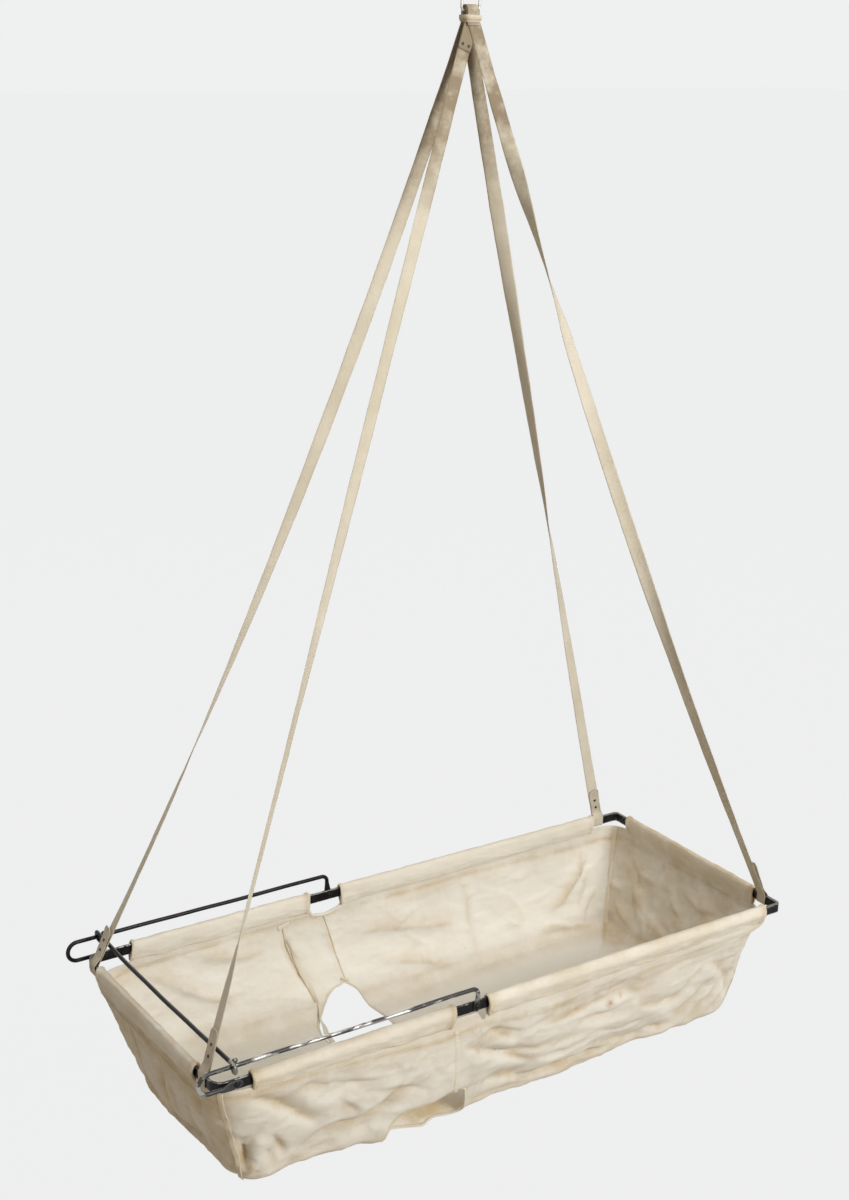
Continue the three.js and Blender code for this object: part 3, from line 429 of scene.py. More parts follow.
# A section carried along centres; returns points, faces and a sheet map
def carrySection(centres, wide, thin, halfWide, halfThin, section, closed=False):
    section = np.asarray(section, dtype=float)
    halfWide = np.broadcast_to(halfWide, len(centres))
    halfThin = np.broadcast_to(halfThin, len(centres))
    points = (centres[:, None, :] + wide[:, None, :] * (section[None, :, 0:1] * halfWide[:, None, None])
              + thin[:, None, :] * (section[None, :, 1:2] * halfThin[:, None, None]))
    rows, columns = points.shape[:2]
    faces = gridFaces(rows, columns, closedColumns=True, closedRows=closed)
    if not closed:
        faces.append(tuple(range(columns - 1, -1, -1)))
        faces.append(tuple(range((rows - 1) * columns, rows * columns)))
    along = lengthsAlong(centres)
    across = section[:, 0][None, :] * halfWide[:, None]
    sheetMap = np.stack([across, np.broadcast_to(along[:, None], across.shape)], axis=-1)
    return points.reshape(-1, 3), faces, sheetMap.reshape(-1, 2)


def roundSection(sides):
    angles = (np.arange(sides) + 0.5) / sides * 2 * math.pi
    return np.stack([np.cos(angles), np.sin(angles)], axis=1)


# A round rod or cord along centres, without twist
def rodAlong(name, centres, radius, material, sides, closed=False, body="cradle", standsFor=(),
             marks=None, roundEnds=True):
    centres = np.asarray(centres, dtype=float)
    radius = np.full(len(centres), radius, dtype=float)
    if roundEnds and not closed:
        tips = []
        for end, step in ((0, 1), (-1, -1)):
            direction = unit(centres[end] - centres[end + step])
            tips.append(([centres[end] + direction * radius[end] * math.sin(a) for a in (0.5, 0.95, 1.3)],
                         [radius[end] * math.cos(a) for a in (0.5, 0.95, 1.3)]))
        (first, firstRadius), (last, lastRadius) = tips
        centres = np.concatenate([first[::-1], centres, last])
        radius = np.concatenate([firstRadius[::-1], radius, lastRadius])
    tangents = tangentsOf(centres, closed)
    wide = np.zeros_like(centres)
    start = np.cross(tangents[0], [0.0, 0.0, 1.0])
    if np.linalg.norm(start) < 0.1:
        start = np.cross(tangents[0], [1.0, 0.0, 0.0])
    wide[0] = unit(start)
    for i in range(1, len(centres)):
        wide[i] = unit(wide[i - 1] - tangents[i] * np.dot(wide[i - 1], tangents[i]))
    thin = np.cross(tangents, wide)
    points, faces, sheetMap = carrySection(centres, wide, thin, radius, radius, roundSection(sides), closed)
    return makePiece(name, points, faces, material, sheetMap, marks, body, standsFor)


# Repeats made with Geometry Nodes
def startTree(name, lengths, paint):
    tree = bpy.data.node_groups.new(name, "GeometryNodeTree")
    tree.interface.new_socket("Geometry", in_out="INPUT", socket_type="NodeSocketGeometry")
    for label, value in lengths.items():
        tree.interface.new_socket(label, in_out="INPUT", socket_type="NodeSocketFloat").default_value = value
    tree.interface.new_socket(paint, in_out="INPUT", socket_type="NodeSocketMaterial")
    tree.interface.new_socket("Geometry", in_out="OUTPUT", socket_type="NodeSocketGeometry")
    return tree, tree.nodes.new("NodeGroupInput").outputs


# The instances made real, smooth and painted
def endTree(tree, instances, paint):
    real = addNode(tree, "GeometryNodeRealizeInstances", {0: instances})
    smooth = addNode(tree, "GeometryNodeSetShadeSmooth", {0: real.outputs[0]})
    painted = addNode(tree, "GeometryNodeSetMaterial", {"Geometry": smooth.outputs[0], "Material": paint})
    addNode(tree, "NodeGroupOutput", {0: painted.outputs[0]})
    return tree


# Turns instances upright on the direction that the mesh carries as an attribute
def uprightNode(tree, attributeName):
    direction = addNode(tree, "GeometryNodeInputNamedAttribute", {"Name": attributeName}, data_type="FLOAT_VECTOR")
    return addNode(tree, "FunctionNodeAlignRotationToVector", {"Vector": direction.outputs["Attribute"]},
                   axis="Z").outputs[0]


def ballNode(tree, segments, rings):
    return addNode(tree, "GeometryNodeMeshUVSphere", {
        "Segments": segments, "Rings": rings, "Radius": 1.0}).outputs["Mesh"]


# Stitches along every line of the mesh; its attribute lift says which way the cloth faces
def stitchTree():
    tree, given = startTree("stitchesAlongLines", {
        "Spacing": 0.003, "Length": 0.0022, "Thickness": 0.0004, "Tilt": 0.0}, "Thread")
    curve = addNode(tree, "GeometryNodeMeshToCurve", {0: given["Geometry"]})
    spots = addNode(tree, "GeometryNodeCurveToPoints", {"Curve": curve.outputs[0], "Length": given["Spacing"]},
                    mode="LENGTH")
    ahead = addNode(tree, "FunctionNodeAlignRotationToVector", {
        "Rotation": uprightNode(tree, "lift"), "Vector": spots.outputs["Tangent"]}, axis="X", pivot_axis="Z")
    size = addNode(tree, "ShaderNodeCombineXYZ", {
        0: mathNode(tree, "MULTIPLY", given["Length"], 0.5), 1: given["Thickness"], 2: given["Thickness"]})
    stitch = addNode(tree, "GeometryNodeTransform", {"Geometry": ballNode(tree, 7, 5), "Scale": size.outputs[0]})
    stitches = addNode(tree, "GeometryNodeInstanceOnPoints", {
        "Points": spots.outputs["Points"], "Instance": stitch.outputs[0], "Rotation": ahead.outputs[0]})
    turn = addNode(tree, "ShaderNodeCombineXYZ", {2: given["Tilt"]})
    tilted = addNode(tree, "GeometryNodeRotateInstances", {
        "Instances": stitches.outputs[0], "Rotation": turn.outputs[0]})
    return endTree(tree, tilted.outputs[0], given["Thread"])


# A rivet on every point; the attribute facing says where its head looks
def rivetTree():
    tree, given = startTree("rivetsOnPoints", {
        "Head radius": 0.0039, "Head height": 0.0018, "Shank radius": 0.0019, "Grip": 0.006}, "Steel")
    upright = uprightNode(tree, "facing")
    dome = ballNode(tree, 20, 10)
    headSize = addNode(tree, "ShaderNodeCombineXYZ", {
        0: given["Head radius"], 1: given["Head radius"], 2: given["Head height"]}).outputs[0]
    headUp = addNode(tree, "ShaderNodeCombineXYZ", {2: given["Grip"]}).outputs[0]
    tailSize = addNode(tree, "ShaderNodeVectorMath", {0: headSize, 1: (0.85, 0.85, 0.5)}, operation="MULTIPLY")
    shank = addNode(tree, "GeometryNodeMeshCylinder", {
        "Vertices": 14, "Radius": given["Shank radius"], "Depth": given["Grip"]}).outputs["Mesh"]
    halfUp = addNode(tree, "ShaderNodeVectorMath", {0: headUp, "Scale": 0.5}, operation="SCALE").outputs[0]
    whole = tree.nodes.new("GeometryNodeJoinGeometry")
    for part, change in ((dome, {"Scale": headSize, "Translation": headUp}),
                         (dome, {"Scale": tailSize.outputs[0]}), (shank, {"Translation": halfUp})):
        moved = addNode(tree, "GeometryNodeTransform", {"Geometry": part, **change})
        tree.links.new(moved.outputs[0], whole.inputs[0])
    spots = addNode(tree, "GeometryNodeMeshToPoints", {"Mesh": given["Geometry"]})
    rivets = addNode(tree, "GeometryNodeInstanceOnPoints", {
        "Points": spots.outputs[0], "Instance": whole.outputs[0], "Rotation": upright})
    return endTree(tree, rivets.outputs[0], given["Steel"])


stitchesAlongLines = stitchTree()
rivetsOnPoints = rivetTree()


# Runs a node tree on bare points or lines and keeps the result as a plain mesh
def settleNodes(name, points, edges, direction, directionName, tree, sizes, standsFor=()):
    mesh = bpy.data.meshes.new(name + "Guide")
    mesh.from_pydata(toFrame(points).tolist(), edges, [])
    attribute = mesh.attributes.new(directionName, "FLOAT_VECTOR", "POINT")
    attribute.data.foreach_set("vector", np.asarray(direction, dtype=np.float32).ravel())
    guide = addObject(name + "Guide", mesh)
    modifier = guide.modifiers.new("repeat", "NODES")
    modifier.node_group = tree
    for item in tree.interface.items_tree:
        if item.in_out == "INPUT" and item.name in sizes:
            modifier[item.identifier] = sizes[item.name]
    shown = guide.evaluated_get(bpy.context.evaluated_depsgraph_get())
    result = bpy.data.meshes.new_from_object(shown)
    result.name = name
    bpy.data.objects.remove(guide)
    bpy.data.meshes.remove(mesh)
    return enterPiece(name, result, "cradle", standsFor)


# Canvas tub: one sheet that runs down the walls, turns under and closes in the floor
tubPlan = {
    "endReach": 404.9, "sideReach": 164.4, "endInset": {"left": 38.0, "right": 31.0}, "sideInset": 28.0,
    "foldRadius": 16.0, "straightDepth": 131.0, "plainTop": 20.3,
    # corner radius by share of the way down
    "corners": {
        "nearLeft": [(0, 40), (1, 40)], "nearRight": [(0, 40), (0.08, 64), (0.3, 60), (1, 45)],
        "farRight": [(0, 30), (0.3, 20), (1, 16)], "farLeft": [(0, 40), (0.1, 56), (1, 58)],
    },
    "sag": 8.0, "thickness": 1.2, "hemStep": 1.3, "gatherHeight": 0.32, "gatherLength": 13.0,
    "creaseShare": {"near": 2.3, "right": 2.1, "far": 1.7, "left": 1.8},
    "crumple": {"near": 3.4, "right": 2.6, "far": 1.8, "left": 2.6},
    "broad": 4.0, "fine": 1.1,  # swells of the whole sheet and its small unevenness
    "hemStainAndShade": 0.3, "footSoilAndShade": 0.35, "blotchSoil": 0.2, "creaseShadeStrength": 0.13,
    "endDarkening": {"left": 0.48, "right": 0.36},
    "sewnLineShade": 0.6, "seamSoil": {"near": 0.25, "right": 0.8, "far": 0.7, "left": 0.25},
    "openingFloorShade": 1.25, "openingShadeAlong": -115, "openingShadeWidth": 62,  # painted shade on the floor inside, beside the near opening
    "flap": {"along": -181, "down": 128, "rise": 6.0},  # loose corner of the near opening
    "faintCreases": {"near": (46, 24, 18), "right": (16, -50, 30), "far": (26, -14, 16), "left": (18, 60, 25)},
    "wallRows": 46, "foldRows": 7, "floorRows": 12, "cornerColumns": 10, "longColumns": 196, "endColumns": 72,
    # depth of the canvas's upper edge along each wall, mostly hidden in the sleeve's foot
    "topEdge": {
        "near": [(-400, 10), (-366, 10), (-357, 12), (-104, 12.5), (-98, 9), (-65, 9), (-62, 21), (-56, 21),
                 (-52, 12.5), (374, 12), (384, 16), (400, 19)],
        "right": [(-160, 19), (-124, 17), (-116, 13), (133, 13), (141, 11), (160, 10)],
        "far": [(-400, 20), (-352, 19), (-344, 13), (-104, 13), (-98, 22), (-78, 26), (-58, 22), (-50, 13), (358, 13),
                (367, 11), (400, 10)],
        "left": [(-160, 10), (-125, 11), (-117, 13), (122, 13), (130, 19), (160, 20)],
    },
    # how far the turned-under foot hangs below its plain depth, along each wall
    "footDrop": {
        "near": [(-380, 5), (-340, 8), (-271, 9), (-202, 13), (-177, 14), (-160, 17), (-135, 20),
                 (-110, 21), (-80, 18), (-58, 14), (-20, 11), (52, 10), (120, 7), (253, 8),
                 (326, 8), (380, 6)],
        "right": [(-160, 6), (0, 6), (160, 0)],
        "far": [(-380, 2), (0, 5), (380, 0)],
        "left": [(-160, 2), (0, 6), (160, 5)],
    },
    # how far the wall leans out past its plain course, half way down
    "belly": {
        "near": [(-380, 0), (-250, 5), (-120, 7), (100, 5), (300, 3), (380, 0)],
        "right": [(-160, 0), (0, 5), (160, 0)],
        "far": [(-380, 0), (-100, 5), (150, 5), (380, 0)],
        "left": [(-160, 0), (0, 6), (160, 0)],
    },
}

# Creases of each wall: the line in (along, height), then depth, width, and the side on which the cloth stands up
wallCreases = {
    "near": [
        ([(-371, -18), (-338, -41), (-305, -66), (-265, -96)], -4.5, 8, 1),
        ([(-330, -84), (-312, -106), (-304, -124)], -3.0, 7, -1),
        ([(-304, -24), (-268, -40), (-228, -50), (-187, -57)], -2.6, 9, -1),
        ([(-132, -62), (-169, -81), (-206, -100), (-253, -103), (-282, -118), (-303, -132)], -3.4, 10, 1),
        ([(-239, -122), (-272, -133), (-303, -146)], -2.4, 7, 1),
        ([(-377, -84), (-364, -102), (-351, -128)], -3.2, 7, 1),
        ([(-353, -148), (-348, -131), (-342, -119)], 3.5, 6, 1),
        ([(-193, -114), (-219, -116)], -2.0, 7, 1),
        ([(-84, -49), (-35, -76), (32, -108)], -4.2, 7, 1),
        ([(-65, -43), (-32, -43), (6, -58)], -2.6, 8, -1),
        ([(11, -126), (68, -125), (112, -128), (159, -135), (210, -150)], -4.2, 7, -1),
        ([(-47, -116), (0, -122), (61, -150)], -3.0, 8, 1),
        ([(19, -54), (88, -59), (134, -55), (207, -61)], -2.6, 12, 1),
        ([(241, -126), (278, -104), (313, -77)], -3.4, 9, -1),
        ([(209, -122), (234, -128), (252, -149)], -2.6, 6, 1),
        ([(-57, -142), (-3, -150), (49, -149)], -2.4, 7, 1),
        ([(134, -122), (213, -132)], -1.8, 7, 1),
        ([(300, -48), (340, -90), (352, -126)], -2.6, 9, 1),
        ([(180, -76), (236, -92), (262, -88)], -1.8, 9, 1),
        ([(-10, -78), (60, -92), (120, -88)], -1.6, 10, 1),
        ([(-250, -62), (-226, -82), (-214, -96)], -1.8, 8, -1),
        ([(-340, -64), (-352, -92), (-350, -112)], -2.0, 8, -1),
        ([(60, -142), (96, -150), (148, -152)], -2.0, 7, 1),
        ([(-372, -112), (-356, -122), (-346, -140)], -2.6, 4, 1),
        ([(-366, -96), (-356, -104), (-350, -118)], -2.2, 4, -1),
        ([(-56, -34), (-20, -58), (4, -66)], -1.8, 4, 1),
        ([(-50, -70), (-10, -84), (44, -92)], -1.8, 4, 1),
        ([(70, -66), (130, -74), (176, -66)], -2.0, 5, -1),
        ([(230, -92), (262, -78), (290, -52)], -2.0, 5, -1),
        ([(286, -128), (314, -108), (332, -84)], -2.4, 5, -1),
        ([(324, -134), (344, -104), (352, -70)], -2.6, 5, -1),
        ([(20, -100), (70, -108), (118, -104)], -1.8, 4, 1),
        ([(120, -96), (170, -108), (214, -102)], -1.8, 5, 1),
        ([(-210, -66), (-160, -76), (-116, -90)], -1.6, 5, -1),
        ([(-340, -96), (-322, -118), (-318, -138)], -2.2, 5, -1),
    ],
    "left": [
        ([(10, -30), (-16, -39), (-10, -84), (9, -146)], -3.0, 8, 1),
        ([(-22, -44), (-25, -88), (-25, -113)], -2.2, 8, -1),
        ([(51, -22), (72, -83), (85, -130)], -3.2, 9, -1),
        ([(-130, -30), (-100, -62), (-84, -110)], -3.6, 10, 1),
        ([(-60, -34), (-62, -78), (-48, -128)], -2.6, 9, 1),
        ([(110, -36), (104, -84), (112, -126)], -2.4, 9, 1),
        ([(-98, -112), (-40, -130), (20, -134)], -2.6, 10, 1),
    ],
    "far": [
        ([(266, -108), (303, -92), (353, -42)], -3.6, 8, 1),
        ([(256, -125), (284, -126), (343, -150)], -3.2, 8, -1),
        ([(-49, -56), (40, -71), (124, -86)], -2.8, 12, 1),
        ([(-143, -42), (-136, -65), (-110, -118)], 2.4, 6, 1),
        ([(-81, -27), (-72, -69), (-62, -113)], -1.5, 5, 1),
        ([(129, -20), (141, -50), (143, -93), (150, -134)], -1.6, 6, 1),
        ([(170, -50), (212, -72), (236, -110)], -1.2, 9, -1),
        ([(-330, -40), (-270, -78), (-214, -104)], -3.0, 10, 1),
        ([(-260, -36), (-200, -52), (-160, -50)], -2.0, 9, 1),
        ([(-10, -104), (60, -118), (110, -140)], -2.4, 9, 1),
        ([(352, -60), (330, -84), (322, -116)], -3.0, 5, 1),
        ([(362, -96), (340, -110), (330, -134)], -3.0, 5, -1),
        ([(340, -36), (330, -58), (334, -80)], -2.0, 4, 1),
    ],
    "right": [
        ([(137, -52), (101, -70), (71, -103), (47, -141)], -3.6, 9, 1),
        ([(71, -103), (47, -107), (17, -117)], -2.8, 8, 1),
        ([(153, -90), (117, -90)], -2.4, 8, 1),
        ([(-20, -40), (-44, -82), (-40, -126)], -2.4, 10, -1),
        ([(-120, -46), (-96, -84), (-78, -130)], -3.0, 10, 1),
        ([(40, -34), (24, -66), (-2, -88)], -2.0, 10, 1),
        ([(120, -40), (92, -56), (60, -60)], -2.2, 5, 1),
        ([(130, -106), (112, -120), (84, -130)], -2.6, 5, -1),
        ([(96, -36), (86, -72), (92, -104)], -2.4, 6, 1),
        ([(-60, -52), (-30, -60), (10, -52)], -1.8, 5, 1),
        ([(10, -90), (-20, -108), (-34, -134)], -2.2, 6, -1),
    ],
}

# Openings in a wall and the floor, in (along, distance down the sheet from the plain top)
legOpenings = {
    "near": [(-176, 138), (-172, 116), (-165, 105), (-155, 97), (-138, 93), (-118, 91), (-98, 88.5), (-84, 88),
             (-72, 93), (-64, 103), (-61, 117), (-62, 131), (-72, 141), (-92, 148), (-110, 144), (-135, 150),
             (-155, 152), (-168, 148)],
    "far": [(-58, 103), (-67, 106), (-78, 110), (-85, 115), (-91, 123), (-98, 136), (-107, 147), (-116, 162),
            (-122, 182), (-123, 206), (-114, 222), (-100, 229), (-60, 230), (-42, 222), (-31, 204), (-28, 184),
            (-29, 150), (-35, 126), (-45, 112)],
}

wallSides = {
    "near": {"out": (0, -1), "along": (1, 0), "long": True, "corners": ("nearLeft", "nearRight")},
    "right": {"out": (1, 0), "along": (0, 1), "long": False, "corners": ("nearRight", "farRight")},
    "far": {"out": (0, 1), "along": (-1, 0), "long": True, "corners": ("farRight", "farLeft")},
    "left": {"out": (-1, 0), "along": (0, -1), "long": False, "corners": ("farLeft", "nearLeft")},
}


def smoothStep(x, low, high):
    t = np.clip((np.asarray(x, dtype=float) - low) / (high - low), 0, 1)
    return t * t * (3 - 2 * t)


def table(pairs, x):
    pairs = sorted(pairs)
    return np.interp(x, [p[0] for p in pairs], [p[1] for p in pairs])


# Distance to a line of points, the side it lies on, and the place along it as a share
def lineDistance(u, v, line):
    line = np.asarray(line, dtype=float)
    best = np.full(u.shape, 1e9)
    side = np.zeros(u.shape)
    place = np.zeros(u.shape)
    lengths = lengthsAlong(line)
    for n in range(len(line) - 1):
        a, b = line[n], line[n + 1]
        step = b - a
        t = np.clip(((u - a[0]) * step[0] + (v - a[1]) * step[1]) / step.dot(step), 0, 1)
        du, dv = u - a[0] - t * step[0], v - a[1] - t * step[1]
        distance = np.hypot(du, dv)
        nearer = distance < best
        best = np.where(nearer, distance, best)
        side = np.where(nearer, np.sign(step[0] * dv - step[1] * du), side)
        place = np.where(nearer, (lengths[n] + t * np.linalg.norm(step)) / lengths[-1], place)
    return best, side, place


# A valley with one steep and one gentle bank, and how much painted shade lies in it
def creaseHeight(u, v, line, depth, width, standing):
    line = smoothPath(line, 6)
    distance, side, place = lineDistance(u, v, line)
    signed = distance * side * standing
    taper = np.sin(np.pi * np.clip(place, 0, 1)) ** 0.8
    steep = np.exp(-(np.abs(signed) / (0.42 * width)) ** 1.2)
    gentle = np.exp(-(np.abs(signed) / (2.0 * width)) ** 1.3)
    stand = np.exp(-((signed - 2.9 * width) / (1.5 * width)) ** 2)
    bank = np.where(signed < 0, steep, gentle)
    return depth * taper * (bank - 0.3 * stand), np.abs(depth) * taper * np.clip(bank * 1.6 - 0.6, 0, 1)


def noiseAt(points, scale, seed, octaves=3):
    shift = Vector((seed * 17.3, seed * 5.1, seed * 9.7))
    return np.array([noise.fractal(Vector(p) * scale + shift, 0.9, 2.0, octaves,
                                   noise_basis="PERLIN_ORIGINAL") for p in points.reshape(-1, 3).tolist()]
                    ).reshape(points.shape[:-1])


# Stitched lines of the hems along each wall, as (along, height)
hemLines = {
    "near": [(-361, -17), (-297, -17), (-220, -22), (-113, -31), (-61, -28), (62, -41), (178, -40), (248, -34),
             (330, -31), (372, -28)],
    "right": [(-124, -26), (-18, -26), (138, -25)],
    "far": [(-345, -33), (-179, -25), (-113, -24), (-55, -25), (47, -27), (134, -24), (305, -29), (362, -28)],
    "left": [(-121, -25), (0, -27), (126, -26)],
}


def hemHeight(side, u):
    return table(hemLines[side], u)


# Faint creases that follow the pull of the cloth: how many, their slope in degrees, and its spread
def faintCreases(side, facts):
    amount, slope, spread = facts
    reach = (tubPlan["endReach"] if wallSides[side]["long"] else tubPlan["sideReach"]) - 30
    lines = []
    for _ in range(amount):
        u, v = rng.uniform(-reach, reach), rng.uniform(-140, -36)
        angle = math.radians(slope * (1 if rng.uniform() < 0.8 else -1) + rng.normal(0, spread))
        half = rng.uniform(18, 52)
        bend = rng.uniform(-7, 7)
        step = np.array([math.cos(angle), math.sin(angle)]) * half
        across = np.array([-step[1], step[0]]) / half
        middle = np.array([u, v])
        lines.append(([middle - step, middle + across * bend, middle + step], -rng.uniform(0.6, 2.0),
                      rng.uniform(3.5, 8.0), 1 if rng.uniform() < 0.5 else -1))
    return lines


def tubColumns(plan):
    columns = []
    for side, facts in wallSides.items():
        straight = plan["longColumns"] if facts["long"] else plan["endColumns"]
        corner = plan["cornerColumns"]
        columns += [(side, "start", -math.pi / 4 * (1 - k / corner)) for k in range(corner)]
        columns += [(side, "straight", 2 * k / straight - 1) for k in range(straight + 1)]
        columns += [(side, "end", math.pi / 4 * k / corner) for k in range(1, corner)]
    return columns


# Plain course of one column: its depth, the angle turned under, and the share of the way to the floor's middle
def plainPoint(plan, column, down, turn=0, inward=0):
    side, kind, value = column
    share = min(max((down - plan["plainTop"]) / (plan["straightDepth"] - plan["plainTop"]), 0), 1)
    inTurn = plan["foldRadius"] * (1 - math.cos(turn))
    half = plan["sideReach"] - plan["sideInset"] * share - inTurn
    ends = {end: plan["endReach"] - plan["endInset"][end] * share - inTurn for end in ("left", "right")}
    facts = wallSides[side]
    # each wall runs from its first corner to its second
    radii = [table(plan["corners"][corner], share) for corner in facts["corners"]]
    out = half if facts["long"] else ends[side]
    reach = [ends["right" if corner.endswith("Right") else "left"] if facts["long"] else half
             for corner in facts["corners"]]
    e, o = -(reach[0] - radii[0]), out
    if kind == "straight":
        t = (value + 1) / 2
        e = e * (1 - t) + (reach[1] - radii[1]) * t
    else:
        radius = radii[0 if kind == "start" else 1]
        e = (e if kind == "start" else reach[1] - radii[1]) + radius * math.sin(value)
        o -= radius * (1 - math.cos(value))
    x = facts["out"][0] * o + facts["along"][0] * e
    y = facts["out"][1] * o + facts["along"][1] * e
    if inward > 0:
        middle, rimX = (ends["right"] - ends["left"]) / 2, (ends["right"] + ends["left"]) / 2
        y *= 1 - inward
        x = middle + (x - middle) * (1 - inward * half / rimX)
    return x, y, -(down + plan["foldRadius"] * math.sin(turn))


# Normals of a grid that is closed round, all looking outwards
def gridNormals(points):
    across = np.roll(points, -1, axis=1) - np.roll(points, 1, axis=1)
    normals = unit(np.cross(np.gradient(points, axis=0), across))
    inside = np.array([0.0, 0.0, -60.0])
    return normals * np.sign(np.einsum("ijk,ijk->ij", normals, points - inside).mean())


def buildTub(plan):
    columns = tubColumns(plan)
    straight = plan["straightDepth"]
    steps = ([("wall", i / plan["wallRows"]) for i in range(plan["wallRows"] + 1)]
             + [("fold", (i + 1) / plan["foldRows"] * math.pi / 2) for i in range(plan["foldRows"])]
             + [("floor", (i + 1) / plan["floorRows"]) for i in range(plan["floorRows"])])
    rows, count = len(steps), len(columns)
    points = np.zeros((rows, count, 3))
    for j, column in enumerate(columns):
        atTop = plainPoint(plan, column, 0)
        top = table(plan["topEdge"][column[0]], atTop[0 if wallSides[column[0]]["long"] else 1])
        for i, (kind, value) in enumerate(steps):
            if kind == "wall":
                points[i, j] = plainPoint(plan, column, top + (straight - top) * value)
            elif kind == "fold":
                points[i, j] = plainPoint(plan, column, straight, value)
            else:
                points[i, j] = plainPoint(plan, column, straight, math.pi / 2, value)
    sides = np.array([c[0] for c in columns])
    # the two long sides meet point for point along the floor's middle
    for side, turn in (("near", 1), ("far", -1)):
        pick = np.nonzero(sides == side)[0]
        ends = points[-1, sides == "left", 0].mean(), points[-1, sides == "right", 0].mean()
        points[-1, pick, 0] = np.linspace(*ends[::turn], len(pick) + 1)[:-1]
        points[-1, pick, 1] = 0.0
    isLong = np.array([wallSides[s]["long"] for s in sides])
    along = np.where(isLong[None, :], points[..., 0], points[..., 1])
    # distance down the sheet, from the plain top
    lengths = np.zeros((rows, count))
    lengths[0] = -points[0, :, 2] - 20.0
    lengths[1:] = lengths[0] + np.cumsum(np.linalg.norm(np.diff(points, axis=0), axis=2), axis=0)
    depth = -points[..., 2]
    wallShare = np.clip((depth - 20.0) / (straight - 20.0), 0, 1)
    floorShare = np.array([value if kind == "floor" else 0.0 for kind, value in steps])[:, None]
    foldShare = np.array([0.0 if kind == "wall" else (value / (math.pi / 2) if kind == "fold" else 1.0)
                          for kind, value in steps])[:, None]
    outward = gridNormals(points)
    outward[-1] = (0, 0, -1)
    # distance of each column from the corner seams, in columns
    seamAway = np.concatenate([np.minimum(np.arange(n), n - np.arange(n))
                               for n in ((sides == side).sum() for side in wallSides)])
    height, creaseShade, drop = (np.zeros((rows, count)) for _ in range(3))
    free = smoothStep(depth, 20, 33) * (1 - smoothStep(floorShare, 0.05, 0.95))
    awayFromSeam = smoothStep(seamAway, 0, 3)[None, :]
    for side in wallSides:
        pick = sides == side
        u, v = along[:, pick], points[:, pick, 2]
        # below the straight part the creases run on down the fold
        v = np.where(foldShare > 0, -lengths[:, pick] - 20.0, v)
        share = plan["creaseShare"][side]
        creases = [(line, deep * share, width, standing) for line, deep, width, standing in wallCreases[side]]
        found = [creaseHeight(u, v, *crease)
                 for crease in creases + faintCreases(side, plan["faintCreases"][side])]
        local = sum(rise for rise, _ in found)
        # the creases also give painted shade on their banks, which darkens the cloth's colour
        creaseShade[:, pick] = sum(grimeAndShade for _, grimeAndShade in found)
        hemAt = hemHeight(side, u)
        above = smoothStep(v, hemAt - 1.5, hemAt + 1.5)
        gathers = np.sin(u * 2 * math.pi / plan["gatherLength"] + 2.5 * np.sin(u / 31.0)) * np.exp(
            -np.abs(v - hemAt) / 11.0) * (0.5 + 0.5 * np.sin(u / 47.0))
        local += (plan["hemStep"] * above + plan["gatherHeight"] * gathers) * (foldShare == 0)
        belly = table(plan["belly"][side], u) * np.sin(np.pi * np.clip(wallShare[:, pick], 0, 1)) * (1 - foldShare)
        height[:, pick] += local * awayFromSeam[:, pick] * free[:, pick] * (1 - foldShare * 0.6) + belly
    broad = noiseAt(points, 0.011, 1, 2) * plan["broad"]
    fine = (0.4 - np.abs(noiseAt(points * np.array([1.0, 1.0, 1.5]), 0.05, 3, 2))) * plan["fine"]
    ridge = 0.35 - np.abs(noiseAt(points * np.array([1.0, 1.0, 1.7]), 0.021, 11, 2))
    ridge *= np.select([sides == side for side in plan["crumple"]], list(plan["crumple"].values()))[None, :]
    height += (broad + fine + ridge) * free
    flap = plan["flap"]
    bump = np.exp(-(((along - flap["along"]) / 16) ** 2 + ((lengths - flap["down"]) / 18) ** 2))
    height += np.where(sides == "near", flap["rise"] * bump, 0)
    shaped = points + outward * height[..., None]
    for side in wallSides:
        pick = sides == side
        drop[:, pick] = table(plan["footDrop"][side], along[:, pick])
    inner = np.sin(np.clip(floorShare, 0, 1) * math.pi / 2)
    shaped[..., 2] -= drop * np.where(foldShare > 0, 1.0, wallShare ** 2) * (1 - inner) + plan["sag"] * inner
    return shaped, points, along, lengths, sides, depth, floorShare, creaseShade


tubShape, tubPlain, tubAlong, tubDown, tubSides, tubDepth, tubFloorShare, tubCreaseShade = buildTub(tubPlan)
tubNormals = gridNormals(tubShape)


# Point and outward normal of the tub's sheet at (along, distance down) on a side
def onTub(side, along, down):
    order = np.nonzero(tubSides == side)[0][::sum(wallSides[side]["along"])]
    rowCount = tubShape.shape[0] - 1
    columns = np.array([np.interp(along, tubAlong[i, order], np.arange(len(order))) for i in range(rowCount)])
    low = np.minimum(columns.astype(int), len(order) - 2)
    share = columns - low
    i = np.arange(rowCount)
    a, b = order[low], order[low + 1]
    downs = tubDown[i, a] * (1 - share) + tubDown[i, b] * share
    spot = tubShape[i, a] * (1 - share)[:, None] + tubShape[i, b] * share[:, None]
    faces = tubNormals[i, a] * (1 - share)[:, None] + tubNormals[i, b] * share[:, None]
    row = np.interp(down, downs, i)
    r = min(int(row), rowCount - 2)
    t = row - r
    return spot[r] * (1 - t) + spot[r + 1] * t, unit(faces[r] * (1 - t) + faces[r + 1] * t)


def lineOnTub(side, line, step, closed=False):
    path = smoothPath(line, step, closed)
    spots, faces = zip(*(onTub(side, a, d) for a, d in path))
    return np.array(spots), np.array(faces)


def insideOutline(u, v, outline):
    outline = np.asarray(outline, dtype=float)
    inside = np.zeros(u.shape, dtype=bool)
    for a, b in zip(outline, np.roll(outline, -1, axis=0)):
        crosses = (a[1] > v) != (b[1] > v)
        level = (b[0] - a[0]) * (v - a[1]) / np.where(b[1] == a[1], 1e-9, b[1] - a[1]) + a[0]
        inside ^= crosses & (u < level)
    return inside
